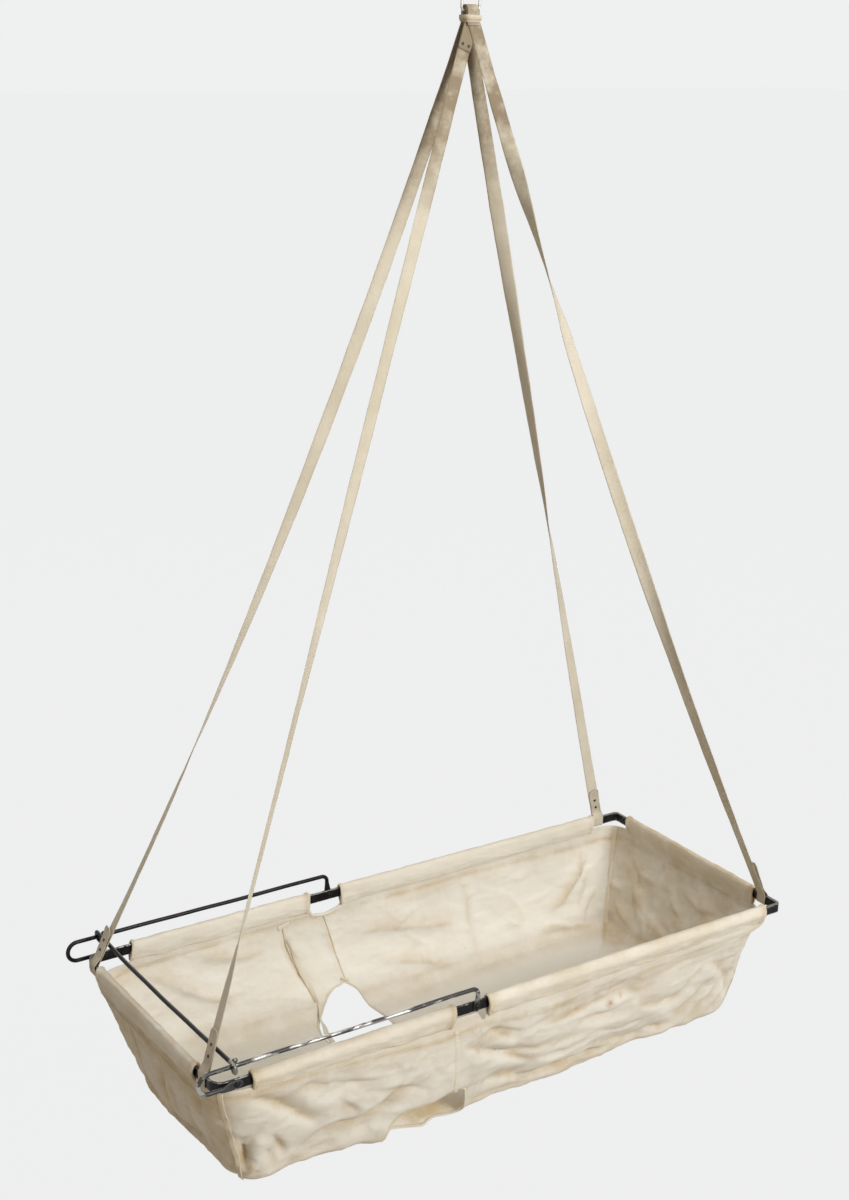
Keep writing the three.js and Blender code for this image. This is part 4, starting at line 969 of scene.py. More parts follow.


# Darkening of the tub's colour: brown stain with painted shade below the hems, darker along the foot and on the ends,
# dirt in blotches and seams, painted shade in creases, along the sewn lines and on the floor beside the near opening
def tubSoilAndShade(plan):
    # brown stain and painted shade on the wall just below the sleeves
    tone = (1 - smoothStep(tubDepth, 24, 60)) * plan["hemStainAndShade"]
    foot = smoothStep(tubDown, 104, 132) * (1 - smoothStep(tubFloorShare, 0, 0.25)) * plan["footSoilAndShade"]
    blotches = np.clip(noiseAt(tubPlain, 0.012, 7, 3), 0, 1)
    # the end walls are made darker
    ends = sum(soilAndShade * (tubSides == side) for side, soilAndShade in plan["endDarkening"].items())
    ends = ends[None, :] * (1 - smoothStep(tubFloorShare, 0, 0.45))
    # painted shade on the floor inside, beside the near opening, where the near wall shades it
    corner = plan["openingFloorShade"] * np.exp(-((tubAlong - plan["openingShadeAlong"]) / plan["openingShadeWidth"]) ** 2) \
        * smoothStep(tubDown, 122, 150) * (1 - smoothStep(tubFloorShare, 0.1, 0.75)) * (tubSides == "near")
    grimeAndShade = np.zeros(tubDown.shape)
    for side in wallSides:
        pick = np.nonzero(tubSides == side)[0]
        fromHem = tubDown[:, pick] + hemHeight(side, tubAlong[:, pick]) + 18.7
        fromSeam = np.minimum(np.arange(len(pick)), len(pick) - np.arange(len(pick)))
        # painted shadow just below the sewn lines of the hems, and dirt along the corner seams
        grimeAndShade[:, pick] = plan["sewnLineShade"] * np.exp(-(fromHem / 3.0) ** 2) + plan["seamSoil"][side] * np.exp(
            -(fromSeam / 2.2) ** 2)[None, :] * (1 - smoothStep(tubFloorShare, 0, 0.15))
    return np.clip(tone + foot + ends + corner + grimeAndShade + plan["blotchSoil"] * blotches
                   + plan["creaseShadeStrength"] * tubCreaseShade, 0, 1).ravel()


# Rust spots on the near wall: along, height, size, strength
rustSpots = [(139, -63, 4.0, 0.9), (137, -41, 3.0, 0.7), (153, -32, 2.6, 0.7), (157, -58, 2.0, 0.6),
             (146, -50, 2.0, 0.4), (-302, -60, 1.6, 0.35)]


def tubRust():
    rust = np.zeros(tubDown.shape)
    for x, z, size, strong in rustSpots:
        away = np.hypot(tubAlong - x, tubPlain[..., 2] - z) / size
        rust = np.maximum(rust, np.where(tubSides == "near", strong * np.exp(-away ** 2), 0))
    return rust.ravel()


def makeTub(plan):
    rows, count = tubShape.shape[:2]
    faces = gridFaces(rows, count, closedColumns=True)
    flat = tubShape.reshape(-1, 3).copy()
    removed = np.zeros(len(faces), dtype=bool)
    faceArray = np.array(faces)
    flatSides = np.tile(tubSides, rows)
    sheetPlaces = np.stack([tubAlong.ravel(), tubDown.ravel()], axis=1)
    for side, outline in legOpenings.items():
        outline = smoothPath(outline, 2.0, closed=True)
        onSide = (flatSides[faceArray] == side).all(axis=1)
        cut = onSide & insideOutline(*sheetPlaces[faceArray].mean(axis=1).T, outline)
        removed |= cut
        edgeOfCut = np.intersect1d(np.unique(faceArray[cut]), np.unique(faceArray[~cut]))
        for index in edgeOfCut:
            i, j = divmod(int(index), count)
            gaps = outline - sheetPlaces[index]
            move = gaps[np.argmin((gaps ** 2).sum(axis=1))]
            if np.abs(move).max() > 6:
                continue
            right, left = (j + 1) % count, (j - 1) % count
            stepAlong = (tubShape[i, right] - tubShape[i, left]) / (tubAlong[i, right] - tubAlong[i, left])
            lower, upper = min(i + 1, rows - 1), max(i - 1, 0)
            stepDown = (tubShape[lower, j] - tubShape[upper, j]) / (tubDown[lower, j] - tubDown[upper, j])
            flat[index] += stepAlong * move[0] + stepDown * move[1]
    kept = [face for face, gone in zip(faces, removed) if not gone]
    # the weave runs on from wall to wall round the tub at its widest
    around = np.broadcast_to(lengthsAlong(tubPlain[10]), tubDown.shape)
    sheetMap = np.stack([around, tubDown], axis=-1).reshape(-1, 2)
    piece = makePiece("canvasTub", flat, kept, canvasCloth, sheetMap,
                      {"soilAndShade": tubSoilAndShade(plan), "rust": tubRust()},
                      standsFor=("canvas_near_wall", "canvas_right_end", "canvas_far_wall", "canvas_left_end",
                                 "canvas_floor"))
    joinLoose(piece)
    thick = piece.modifiers.new("thickness", "SOLIDIFY")
    thick.thickness = plan["thickness"] / 1000
    thick.offset = 0.0
    return piece


def joinLoose(piece):
    work = bmesh.new()
    work.from_mesh(piece.data)
    bmesh.ops.remove_doubles(work, verts=work.verts, dist=0.00025)
    loose = [v for v in work.verts if not v.link_faces]
    bmesh.ops.delete(work, geom=loose, context="VERTS")
    work.to_mesh(piece.data)
    work.free()


canvasTub = makeTub(tubPlan)
print("the canvas tub stands")


# Hem sleeves round the bar: full above, pinched where they are sewn below
sleevePlan = {
    "outline": [(0.0, 9.2), (2.5, 8.7), (4.2, 6.6), (5.1, 2.6), (5.2, -2.6), (4.7, -8.2), (3.4, -13.6), (1.7, -18.4)],
    "fullness": {"near": 1.28, "far": 0.95, "left": 1.15, "right": 1.0},
    "soilAndShade": {"near": 0.26, "far": 0.0, "left": 0.3, "right": 0.6},
    "depth": 18.4, "step": 4.0, "cuffLength": 5.0, "cuffRise": 0.75, "endRoll": 0.7,
    "ripple": 1.5, "ridge": 0.9, "gather": 0.35, "sway": 2.2,
    "cuffSoil": 0.5, "footSoilAndShade": 0.45, "topSoilAndShade": 0.25,
    "pieces": {
        # side of the frame, from, to, lower edge along it, slant of each end
        "sleeveNearLeft": ("near", -362, -100, [(-362, -13), (-299, -14), (-221, -15.5), (-150, -17.5), (-100, -19)],
                           (-2.0, 1.5), "sleeve_near_left"),
        "sleeveNearRight": ("near", -54, 378, [(-54, -17.5), (62, -17.5), (200, -16), (330, -15), (378, -14)],
                            (-1.5, 2.0), "sleeve_near_right"),
        "sleeveFarLeft": ("far", -348, -100, [(-348, -16), (-220, -17), (-100, -17)], (1.5, 1.0), "sleeve_far_left"),
        "sleeveFarRight": ("far", -54, 362, [(-54, -17), (100, -17), (362, -16)], (-1.0, 2.0), "sleeve_far_right"),
        "sleeveLeftEnd": ("left", -121, 126, [(-121, -15), (0, -17), (126, -16)], (-2.0, 2.0), "sleeve_left_end"),
        "sleeveRightEnd": ("right", -120, 137, [(-120, -16), (0, -17), (137, -15)], (-1.0, 1.5), "sleeve_right_end"),
    },
}


# A point beside the bar: along it, out from its middle, and up
def besideBar(side, along, out, up):
    facts = wallSides[side]
    reach = tubPlan["sideReach"] if facts["long"] else tubPlan["endReach"]
    base = np.asarray(along, dtype=float)
    far = reach + np.asarray(out, dtype=float)
    x = facts["out"][0] * far + (base if facts["long"] else 0)
    y = facts["out"][1] * far + (0 if facts["long"] else base)
    return np.stack(np.broadcast_arrays(x, y, np.asarray(up, dtype=float)), axis=-1)


# Lines of stitches are gathered here as (points, lift) and sewn at the end
stitchRuns = {"overcast": [], "running": [], "ladder": []}


def sewAlong(kind, line, lift, closed=False):
    lift = np.broadcast_to(lift, line.shape)
    if closed:
        line, lift = np.concatenate([line, line[:1]]), np.concatenate([lift, lift[:1]])
    stitchRuns[kind].append((line, lift))


def makeSleeve(name, plan, seed):
    side, start, end, lower, slant, node = plan["pieces"][name]
    right = smoothPath(plan["outline"], 1.3)
    section = np.concatenate([right, right[:0:-1] * (-1, 1)])
    count = len(section)
    cuffLength = plan["cuffLength"]
    cuffSteps = np.array([0.0, 0.5, 1.4, 2.6, 3.8, cuffLength, cuffLength + 1.2])
    along = np.concatenate([start + cuffSteps, np.arange(start + cuffLength + 5, end - cuffLength - 4, plan["step"]),
                            end - cuffSteps[::-1]])
    rows = len(along)
    fromEnd = np.minimum(along - start, end - along)
    cuff = plan["cuffRise"] * (1 - smoothStep(fromEnd, cuffLength - 0.6, cuffLength + 1.0))
    rolled = plan["endRoll"] * (1 - smoothStep(fromEnd, 0, 1.4))
    foot = table(lower, along)
    u, w, h = (np.broadcast_to(values, (rows, count))
               for values in (along[:, None], section[None, :, 0], section[None, :, 1]))
    below = np.clip(-h / plan["depth"], 0, 1)
    w = w * (1 + (plan["fullness"][side] - 1) * np.exp(-((h + 1) / 7.0) ** 2))
    # the lower edge follows its table
    h = np.where(h < 0, h / plan["depth"] * -foot[:, None], h)
    seedPoints = np.stack([u * 1.0, w * 3.0, h * 2.0], axis=-1)
    ripple = noiseAt(seedPoints, 0.045, seed, 3) * plan["ripple"]
    ripple += (0.35 - np.abs(noiseAt(seedPoints, 0.09, seed + 1, 2))) * plan["ridge"]
    gather = plan["gather"] * np.sin(u / 5.5 + 2.6 * np.sin(u / 37.0 + seed)) * below
    sign = np.sign(w) * np.minimum(np.abs(w) / 2.0, 1)
    grow = (cuff - rolled)[:, None] + np.maximum((ripple + gather) * (0.35 + 0.65 * below) * (fromEnd > 3)[:, None],
                                                 -0.6)
    outW = w + sign * grow
    outH = h + np.where(h > 5, 1.0, 0.0) * np.minimum(grow, 0.8)
    sway = noiseAt(np.outer(along, (1.0, 0.0, 0.0)), 0.02, seed + 3, 2)[:, None] * plan["sway"] * below
    share = (u - start) / (end - start)
    lean = (slant[0] * (1 - share) ** 8 + slant[1] * share ** 8) * (h / 16.0)
    outer = besideBar(side, u + lean, outW + sway, outH)
    inner = besideBar(side, u + lean, w * 0.66 * (1 - 0.6 * below) + sway * 0.4, h * np.where(h > 0, 0.87, 0.84))
    points = np.concatenate([outer.reshape(-1, 3), inner.reshape(-1, 3)])
    faces = gridFaces(rows, count, closedColumns=True)
    back = rows * count
    faces += [(back + d, back + c, back + b, back + a) for a, b, c, d in faces]
    # both ends are closed between the outer and the inner face
    last = back - count
    for j in range(count):
        k = (j + 1) % count
        faces += [(k, j, back + j, back + k), (last + j, last + k, back + last + k, back + last + j)]
    sheetMap = np.stack(np.broadcast_arrays(u, lengthsAlong(section)[None, :]), axis=-1).reshape(-1, 2)
    sheetMap = np.concatenate([sheetMap, sheetMap + 0.3])
    ends = (plan["soilAndShade"][side] + plan["cuffSoil"] * (1 - smoothStep(fromEnd, 2, 14)))[:, None]
    # painted shade of the fold along the sleeve's lower edge, dirt at the ends and a tan top edge
    soilAndShade = ends + plan["footSoilAndShade"] * (1 - smoothStep(h, -20, -11)) + plan["topSoilAndShade"] * smoothStep(h, 5, 8)
    piece = makePiece(name, points, faces, hemCloth, sheetMap, {"soilAndShade": np.tile(soilAndShade.ravel(), 2)},
                      standsFor=(node,))
    for place in (start + 2.4, end - 2.4):
        ring = outer[np.argmin(np.abs(along - place))]
        sewAlong("overcast", ring, unit(ring - besideBar(side, place, 0, ring[:, 2])), closed=True)
    # the running stitch that pinches the sleeve, on its outer and inner face
    sideOut = np.array([*wallSides[side]["out"], 0.0])
    for index in (count // 2 - 2, count - count // 2 + 2):
        sewAlong("running", outer[4:-4, index], sideOut * np.sign(section[index][0]))
    return piece


sleeves = [makeSleeve(name, sleevePlan, 20 + 5 * number) for number, name in enumerate(sleevePlan["pieces"])]
print("the sleeves are on the bar")


# Straps: laid round the bar, laid back on themselves, and folded over the link's foot
strapPlan = {
    "tapeWidth": 16.0, "tapeThickness": 0.9, "pitch": 1.3, "overlap": 44.0, "spread": 9.0, "bandHeight": 8.0,
    "drop": 1080.0, "linkWire": 3.0, "seat": 0.3,
    "barHalfThick": 1.6, "barHalfHeight": 6.35, "barHalfWide": 164.4,
    "edgeWobble": 0.45, "ripple": 0.25, "soilAndShade": 0.12, "footSoilAndShade": 0.4, "topSoilAndShade": 1.3, "edgeSoil": 0.25,
    "curl": (1.5, 0.4),  # how far the free end stands off the strap, at its tip and next to it
    "pieces": {
        # turns: share of the way up, and the angle of the tape's width from +X, in degrees
        "strapNearLeft": {"bar": (-404.9, -138.0), "main": (1, 0), "side": -1, "layer": 0, "sag": 0.0,
                          "turns": [(0, -90), (0.06, -97), (0.1, -107), (0.15, -138), (0.25, -140), (0.35, -144),
                                    (0.444, -156), (0.54, -166), (0.635, -171), (0.73, -176), (0.9, -180), (1, -180)],
                          "node": "strap_near_left"},
        "strapFarLeft": {"bar": (-404.9, 142.0), "main": (1, 0), "side": 1, "layer": 1, "sag": 19.0, "tail": 40.0,
                         "turns": [(0, -90), (0.04, -100), (0.08, -108), (0.18, -110), (0.24, -124), (0.29, -137),
                                   (0.387, -156), (0.49, -171), (0.6, -188), (0.7, -194), (0.81, -194), (0.93, -180),
                                   (1, -180)],
                         "node": "strap_far_left"},
        "strapNearRight": {"bar": (404.9, -134.0), "main": (-1, 0), "side": -1, "layer": 2, "sag": 14.0,
                           "turns": [(0, 90), (0.05, 86), (0.106, 90), (0.22, 103), (0.335, 112), (0.449, 146),
                                     (0.563, 164), (0.678, 187), (0.746, 236), (0.79, 258), (0.87, 330), (0.95, 360),
                                     (1, 360)],
                           "node": "strap_near_right"},
        "strapFarRight": {"bar": (371.0, 164.4), "main": (0, 1), "side": 1, "layer": 3, "sag": 3.0,
                          "turns": [(0, 180), (0.141, 185), (0.267, 199), (0.393, 221), (0.43, 236), (0.519, 264),
                                    (0.645, 284), (0.771, 318), (0.87, 345), (0.95, 360), (1, 360)],
                          "node": "strap_far_right"},
    },
}


upward = np.array([0.0, 0.0, 1.0])


# Where a strap sits: its side of the bar, the bar's middle, the tape's distance from it, the foot of its free run,
# the radius of its layer over the link's wire, and the way up from the foot to the lashing
def strapSeat(plan, piece):
    half = plan["tapeThickness"] / 2
    main = np.array([*piece["main"], 0.0])
    bar = np.array([*piece["bar"], 0.0])
    clear = plan["barHalfThick"] + plan["seat"] + half
    foot = bar + main * clear + upward * plan["barHalfHeight"]
    ring = plan["linkWire"] / 2 + plan["seat"] + half + piece["layer"] * plan["pitch"]
    rise = np.array([0.0, piece["side"] * ring, plan["drop"]]) - foot
    return main, bar, clear, foot, ring, rise


def strapLean(plan, piece):
    return unit(np.array([*piece["bar"], -plan["drop"]]))


# Points of an arc as (across, up)
def arc(across, up, radius, start, end, count):
    return [(across + radius * math.cos(a), up + radius * math.sin(a)) for a in np.linspace(start, end, count)]


def strapCourse(plan, name):
    piece = plan["pieces"][name]
    main, bar, clear, foot, ring, rise = strapSeat(plan, piece)
    barTop = plan["barHalfHeight"]
    under = barTop + plan["seat"] + plan["tapeThickness"] / 2

    def at(m, z):
        return bar + main * m + upward * z

    def atBand(side, heights):
        return [np.array([0.0, side * ring, plan["drop"] + plan["bandHeight"] * t]) for t in heights]

    layBack = plan["pitch"] * math.hypot(1, rise.dot(main) / rise[2])
    heights = (plan["overlap"] + 2, plan["overlap"] - 4, 28, 18, plan["spread"])
    loop = [foot + rise * height / rise[2] - main * (layBack + curl)
            for height, curl in zip(heights, (*plan["curl"], 0, 0, 0))]
    loop += [at(-clear, barTop), at(-clear, 0), at(-clear, -6.0), at(-clear / 2, -under), at(clear / 2, -under),
             at(clear, -6.0), at(clear, 0), foot]
    loop = smoothPath(loop, 1.6)
    direction = unit(rise)
    slump = unit(-upward + direction * direction.dot(upward))
    shares = np.linspace(0, 1, 150)[1:]
    run = [foot + rise * t + slump * piece["sag"] * 4 * t * (1 - t) for t in shares]
    overWire = [np.array([0.0, piece["side"] * y, z])
                for y, z in arc(0, plan["drop"] + plan["bandHeight"], ring, 0, math.pi, 18)]
    if "tail" in piece:
        lean = strapLean(plan, plan["pieces"]["strapNearLeft"])
        length = piece["tail"] - plan["bandHeight"]
    else:
        lean = unit(np.array([0.0, -piece["side"] * plan["barHalfWide"], -plan["drop"]]))
        length = plan["bandHeight"] / 2 + 3
    tailStart = atBand(-piece["side"], [0])[0]
    top = [*atBand(piece["side"], (0.35, 0.7)), *overWire, *atBand(-piece["side"], (0.7, 0.35)),
           *(tailStart + lean * (t * length / -lean[2]) for t in np.linspace(0, 1, 9))]
    return np.array([*loop, *run, *top]), np.concatenate([np.zeros(len(loop)), shares, np.ones(len(top))])


# Widths squared to the course they go along, and the directions across them
def squareTo(tangents, wide):
    wide = unit(wide - tangents * np.einsum("ij,ij->i", wide, tangents)[:, None])
    return wide, np.cross(tangents, wide)


def makeStrap(name, plan, seed):
    piece = plan["pieces"][name]
    centres, shareUp = strapCourse(plan, name)
    # the turn table is eased by averaging it over a short stretch
    fineShare = np.linspace(0, 1, 401)
    eased = np.convolve(np.pad(table(piece["turns"], fineShare), 7, mode="edge"), np.ones(15) / 15, mode="valid")
    angle = np.radians(np.interp(shareUp, fineShare, eased))
    wide, thin = squareTo(tangentsOf(centres), np.stack([np.cos(angle), np.sin(angle), angle * 0], axis=1))
    edge = noiseAt(centres, 0.02, seed, 3) * plan["edgeWobble"]
    # the free end has rounded corners
    fromEnd = lengthsAlong(centres)
    halfWide = (plan["tapeWidth"] / 2 + edge - 0.25) * (1 - 0.42 * np.exp(-(fromEnd / 2.6) ** 2))
    face = np.array([(t, 1.0) for t in np.linspace(-1, 1, 14)])
    face[[0, -1], 1] = 0.55
    section = np.concatenate([face * (1, -1), face[::-1]])
    across = section[:, 0]
    points, faces, sheetMap = carrySection(centres, wide, thin, halfWide, plan["tapeThickness"] / 2, section)
    # a slight trough across the tape in the free run
    count = len(section)
    cup = np.sin(shareUp * math.pi) * (shareUp > 0)
    grid = points.reshape(len(centres), count, 3)
    grid += thin[:, None, :] * (cup[:, None] * (across[None, :] ** 2 - 0.33))[..., None]
    ripple = noiseAt(grid[:, ::4], 0.05, seed + 2, 2).mean(axis=1) * plan["ripple"]
    grid += thin[:, None, :] * (ripple * (shareUp > 0.05) * (shareUp < 0.95))[:, None, None]
    soilAndShade = plan["soilAndShade"] + plan["footSoilAndShade"] * (1 - smoothStep(shareUp, 0, 0.06))
    # painted shade at the straps' tops, where they meet under the lashing
    soilAndShade += plan["topSoilAndShade"] * smoothStep(shareUp, 0.78, 0.93)
    soilAndShade = np.repeat(soilAndShade, count) + plan["edgeSoil"] * np.tile(np.abs(across) ** 6, len(centres))
    return makePiece(name, grid.reshape(-1, 3), faces, tapeCloth, sheetMap, {"soilAndShade": soilAndShade},
                     standsFor=(piece["node"],))


straps = [makeStrap(strapName, strapPlan, 50 + number) for number, strapName in enumerate(strapPlan["pieces"])]
print("the straps are up")


# Lashing: a narrow tape wound round the gathered straps
lashingPlan = {"turns": 3, "height": 4.6, "thickness": 0.75, "halfX": 9.4, "halfY": 8.0, "rise": 1.25,
               "squareness": 0.55, "stack": 0.25, "spiral": 0.85, "slant": 0.5, "turnPoints": 56, "soilAndShade": 0.55}


def makeLashing(plan):
    around = []
    for turn in range(plan["turns"]):
        for k in range(plan["turnPoints"]):
            share = k / plan["turnPoints"]
            a = 2 * math.pi * share
            grow = plan["stack"] * turn + plan["spiral"] * (turn + share) / plan["turns"]
            x, y = ((plan[half] + grow) * math.copysign(abs(c) ** plan["squareness"], c)
                    for half, c in (("halfX", math.cos(a)), ("halfY", math.sin(a))))
            z = (turn - (plan["turns"] - 1) / 2) * plan["rise"] + plan["slant"] * math.sin(a + 2.1 * turn)
            around.append((x, y, strapPlan["drop"] + z))
    centres = np.array(around)
    wide, thin = squareTo(tangentsOf(centres), np.broadcast_to(upward, centres.shape))
    section = [(-1, -0.5), (-0.5, -1), (0.5, -1), (1, -0.5), (1, 0.5), (0.5, 1), (-0.5, 1), (-1, 0.5)]
    points, faces, sheetMap = carrySection(centres, wide, thin, plan["height"] / 2, plan["thickness"] / 2, section)
    return makePiece("lashing", points, faces, lashingCloth, sheetMap, {"soilAndShade": plan["soilAndShade"]},
                     standsFor=("lashing_band",))


lashing = makeLashing(lashingPlan)


# Metal: link, frame bar, rails, cross bar
metalPlan = {
    "linkWire": 3.0, "linkWidth": 26.0, "linkInner": 46.5, "linkFootRadius": 4.0, "linkHeight": 1136.0,
    "barHalfLong": 404.9, "barHalfWide": 164.4, "barLeftRadius": 13.4, "barRightRadius": 4.4,
    "barHeight": 12.7, "barThickness": 3.2, "barRound": 0.7,
    "rodRadius": 2.5, "railRise": 25.0, "railFootRise": 1.0, "railBend": 8.0, "railBack": -426.5,
    "railPlane": 168.8, "padPlane": 167.3, "pivotX": -70.0, "cornerX": -380.5, "padLength": 15.0, "padWidth": 9.5,
    "padThickness": 2.0, "padTaper": 10.0,
    "crossX": -388.0, "crossSag": 3.5, "eyeGap": 1.15, "eyeTurn": 0.95, "eyeLength": 6.6,
}


def makeLink(plan):
    half, radius = (plan["linkWidth"] - plan["linkWire"]) / 2, plan["linkFootRadius"]
    top = plan["linkHeight"] + plan["linkWire"] / 2 - half
    foot = plan["linkHeight"] - (plan["linkInner"] + plan["linkWire"] / 2)
    corner = half - radius
    path = arc(0, top, half, 0, math.pi, 26)
    path += [(-half, z) for z in np.linspace(top, foot + radius, 12)[1:-1]]
    path += arc(-corner, foot + radius, radius, math.pi, 1.5 * math.pi, 8)
    path += [(x, foot) for x in np.linspace(-corner, corner, 8)[1:-1]]
    path += arc(corner, foot + radius, radius, -math.pi / 2, 0, 8)
    path += [(half, z) for z in np.linspace(foot + radius, top, 12)[1:-1]]
    return rodAlong("hangingLink", [(x, 0, z) for x, z in path], plan["linkWire"] / 2, linkSteel, 16,
                    True, "hanger", ("hanging_link",))


def makeBar(plan):
    long, wide = plan["barHalfLong"], plan["barHalfWide"]
    corners = []
    for n, (sx, sy) in enumerate(((-1, -1), (1, -1), (1, 1), (-1, 1))):
        radius = plan["barLeftRadius"] if sx < 0 else plan["barRightRadius"]
        start = math.pi + n * math.pi / 2
        corners.append(arc(sx * (long - radius), sy * (wide - radius), radius, start, start + math.pi / 2, 9))
    path = []
    for n, bend in enumerate(corners):
        path += bend
        start, end = np.array(bend[-1]), np.array(corners[(n + 1) % 4][0])
        steps = int(np.linalg.norm(end - start) / 7)
        path += [tuple(start + (end - start) * k / steps) for k in range(1, steps)]
    centres = np.array([(x, y, 0.0) for x, y in path])
    outward = np.cross(tangentsOf(centres, closed=True), upward)
    halfUp, halfOut, r = plan["barHeight"] / 2, plan["barThickness"] / 2, plan["barRound"]
    section, wear = [], []
    signs = ((1, 1), (-1, 1), (-1, -1), (1, -1))
    for n, (sx, sz) in enumerate(signs):
        start, (nextX, nextZ) = 90 * n, signs[(n + 1) % 4]
        a = np.array([sx * (halfUp - r), sz * (halfOut - r)])
        b = np.array([nextX * (halfUp - r), nextZ * (halfOut - r)])
        for angle in np.radians((start, start + 30, start + 60, start + 90)):
            section.append(a + np.array([math.cos(angle), math.sin(angle)]) * r)
        # the corners are rubbed bare, the broad faces hardly
        broad = abs(a[0] - b[0]) > 1
        flats = (0.12, 0.5, 0.88) if broad else (0.5,)
        section += [a + (b - a) * t + (section[-1] - a) for t in flats]
        wear += [1.0] * 4 + [0.25 if broad else 0.8] * len(flats)
    points, faces, sheetMap = carrySection(centres, np.broadcast_to(upward, centres.shape), outward, 1.0, 1.0,
                                           section, closed=True)
    grid = points.reshape(len(centres), len(section), 3)
    grid += (outward * noiseAt(centres, 0.012, 71, 2)[:, None] * 0.25)[:, None, :]
    marks = np.tile(wear, len(centres)) + np.repeat(noiseAt(centres, 0.02, 73, 2) * 0.5, len(section))
    # the right corners are rubbed barer
    marks += np.repeat(smoothStep(centres[:, 0], 330, 400) * 0.25, len(section))
    return makePiece("frameBar", grid.reshape(-1, 3), faces, blackPaint, sheetMap, {"wear": marks},
                     standsFor=("frame_bar",))


def makeRail(plan, side, material, node, name):
    stations = []  # x, z, flat, narrow

    def add(x, z, flat=0.0, narrow=1.0):
        stations.append((x, z, flat, narrow))

    x0, pad, rise, bend = plan["pivotX"], plan["padWidth"], plan["railRise"], plan["railBend"]
    backRadius = (rise - plan["railFootRise"]) / 2
    backX = plan["railBack"] + backRadius
    low = -(pad + plan["padThickness"]) / 2
    for t, n in ((0, 0.22), (0.05, 0.5), (0.14, 0.76), (0.3, 0.95), (0.45, 1.0), (0.7, 1.0), (1.0, 1.0)):
        add(x0, low + (pad / 2 - low) * t, 1.0, n)
    for t in (0.2, 0.4, 0.6, 0.8, 1.0):
        add(x0, pad / 2 + (rise - bend - pad / 2) * t * 0.9, 1 - t)
    for x, z in (*arc(x0 - bend, rise - bend, bend, 0, math.pi / 2, 9),
                 *((x, rise) for x in np.linspace(x0 - bend, backX, 50)[1:-1]),
                 *arc(backX, rise - backRadius, backRadius, math.pi / 2, 1.5 * math.pi, 17)):
        add(x, z)
    cx, half = plan["cornerX"], plan["padLength"] / 2
    for t in (0.0, 0.25, 0.5, 0.75, 1.0):
        add(cx - half - plan["padTaper"] * (1 - t), plan["railFootRise"], t)
    for t, n in ((0.15, 1.0), (0.4, 1.0), (0.62, 1.0), (0.78, 0.95), (0.9, 0.76), (0.97, 0.5), (1.0, 0.22)):
        add(cx - half + plan["padLength"] * t, plan["railFootRise"], 1.0, n)
    data = np.array(stations)
    flat, narrow = data[:, 2], data[:, 3]
    planeY = side * (plan["railPlane"] + (plan["padPlane"] - plan["railPlane"]) * flat)
    centres = np.stack([data[:, 0], planeY, data[:, 1]], axis=1)
    straight = smoothStep(centres[:, 0], -400, -330) * (1 - smoothStep(centres[:, 0], -140, -80)) * (data[:, 1] > 20)
    centres[:, 2] += straight * noiseAt(centres, 0.008, 77 + side, 2) * 1.6
    thin = np.broadcast_to(np.array([0.0, 1.0, 0.0]), centres.shape)
    wide = unit(np.cross(thin, tangentsOf(centres)))
    halfWide = (plan["rodRadius"] + (plan["padWidth"] / 2 - plan["rodRadius"]) * flat) * narrow
    halfThin = plan["rodRadius"] + (plan["padThickness"] / 2 - plan["rodRadius"]) * flat
    points, faces, sheetMap = carrySection(centres, wide, thin, halfWide, halfThin, roundSection(20))
    # the near rail keeps its paint on the flat ends
    paint = np.maximum(flat, smoothStep(data[:, 0], -412, -398) * (data[:, 1] < 5)) * (side < 0)
    return makePiece(name, points, faces, material, sheetMap,
                     {"wear": 0.35, "paint": np.repeat(paint, 20)}, standsFor=(node,))


def makeCrossBar(plan):
    gap = plan["rodRadius"] * 2 + plan["eyeGap"]
    eyeHeight = plan["railRise"] - (plan["eyeGap"] - 0.3)
    x, plane = plan["crossX"], plan["railPlane"]

    def eye(side):
        turns = [(t, t * plan["eyeTurn"] * 2 * math.pi) for t in np.linspace(0, 1, 31)[1:]]
        return [(x + plan["eyeLength"] * t, side * (plane + gap * math.sin(a)), eyeHeight + gap * math.cos(a))
                for t, a in turns]

    span = [(x, s * plane, eyeHeight + gap - plan["crossSag"] * (1 - s * s)) for s in np.linspace(-1, 1, 60)]
    path = np.array(eye(-1)[::-1] + span + eye(1))
    path[:, 2] += noiseAt(path, 0.01, 83, 2) * (np.abs(path[:, 1]) < 150) * 1.2
    # the near eye is rubbed bare
    wear = 0.25 + 0.85 * (1 - smoothStep(path[:, 1], 2 - plane, 9 - plane))
    return rodAlong("crossBar", path, plan["rodRadius"], blackPaint, 18, False, "cross_bar",
                    ("cross_bar",), marks={"wear": np.repeat(wear, 18)}, roundEnds=False)


hangingLink = makeLink(metalPlan)
frameBar = makeBar(metalPlan)
railNear = makeRail(metalPlan, -1, wornSteel, "rail_near", "railNear")
railFar = makeRail(metalPlan, 1, blackPaint, "rail_far", "railFar")
crossBar = makeCrossBar(metalPlan)
print("the metalwork is in place")


# Rivets of the rails, strap studs and nails
rivetPlan = {
    "inside": metalPlan["barHalfWide"] - metalPlan["barThickness"] / 2 - 0.3,
    "grip": metalPlan["barThickness"] + metalPlan["padThickness"] + 0.9,
    "shank": 1.9, "head": 3.9, "height": 1.8,
}
studPlan = {"heights": (17.0, 29.0), "head": 1.9, "height": 0.8, "shank": 0.9}
nailPlan = {"below": 27.0, "aside": 4.0, "head": 1.6, "height": 0.7, "shank": 0.9}
tapeHalf = strapPlan["tapeThickness"] / 2 + strapPlan["seat"]
tapeGrip = strapPlan["tapeThickness"] + strapPlan["pitch"] + 2 * strapPlan["seat"]


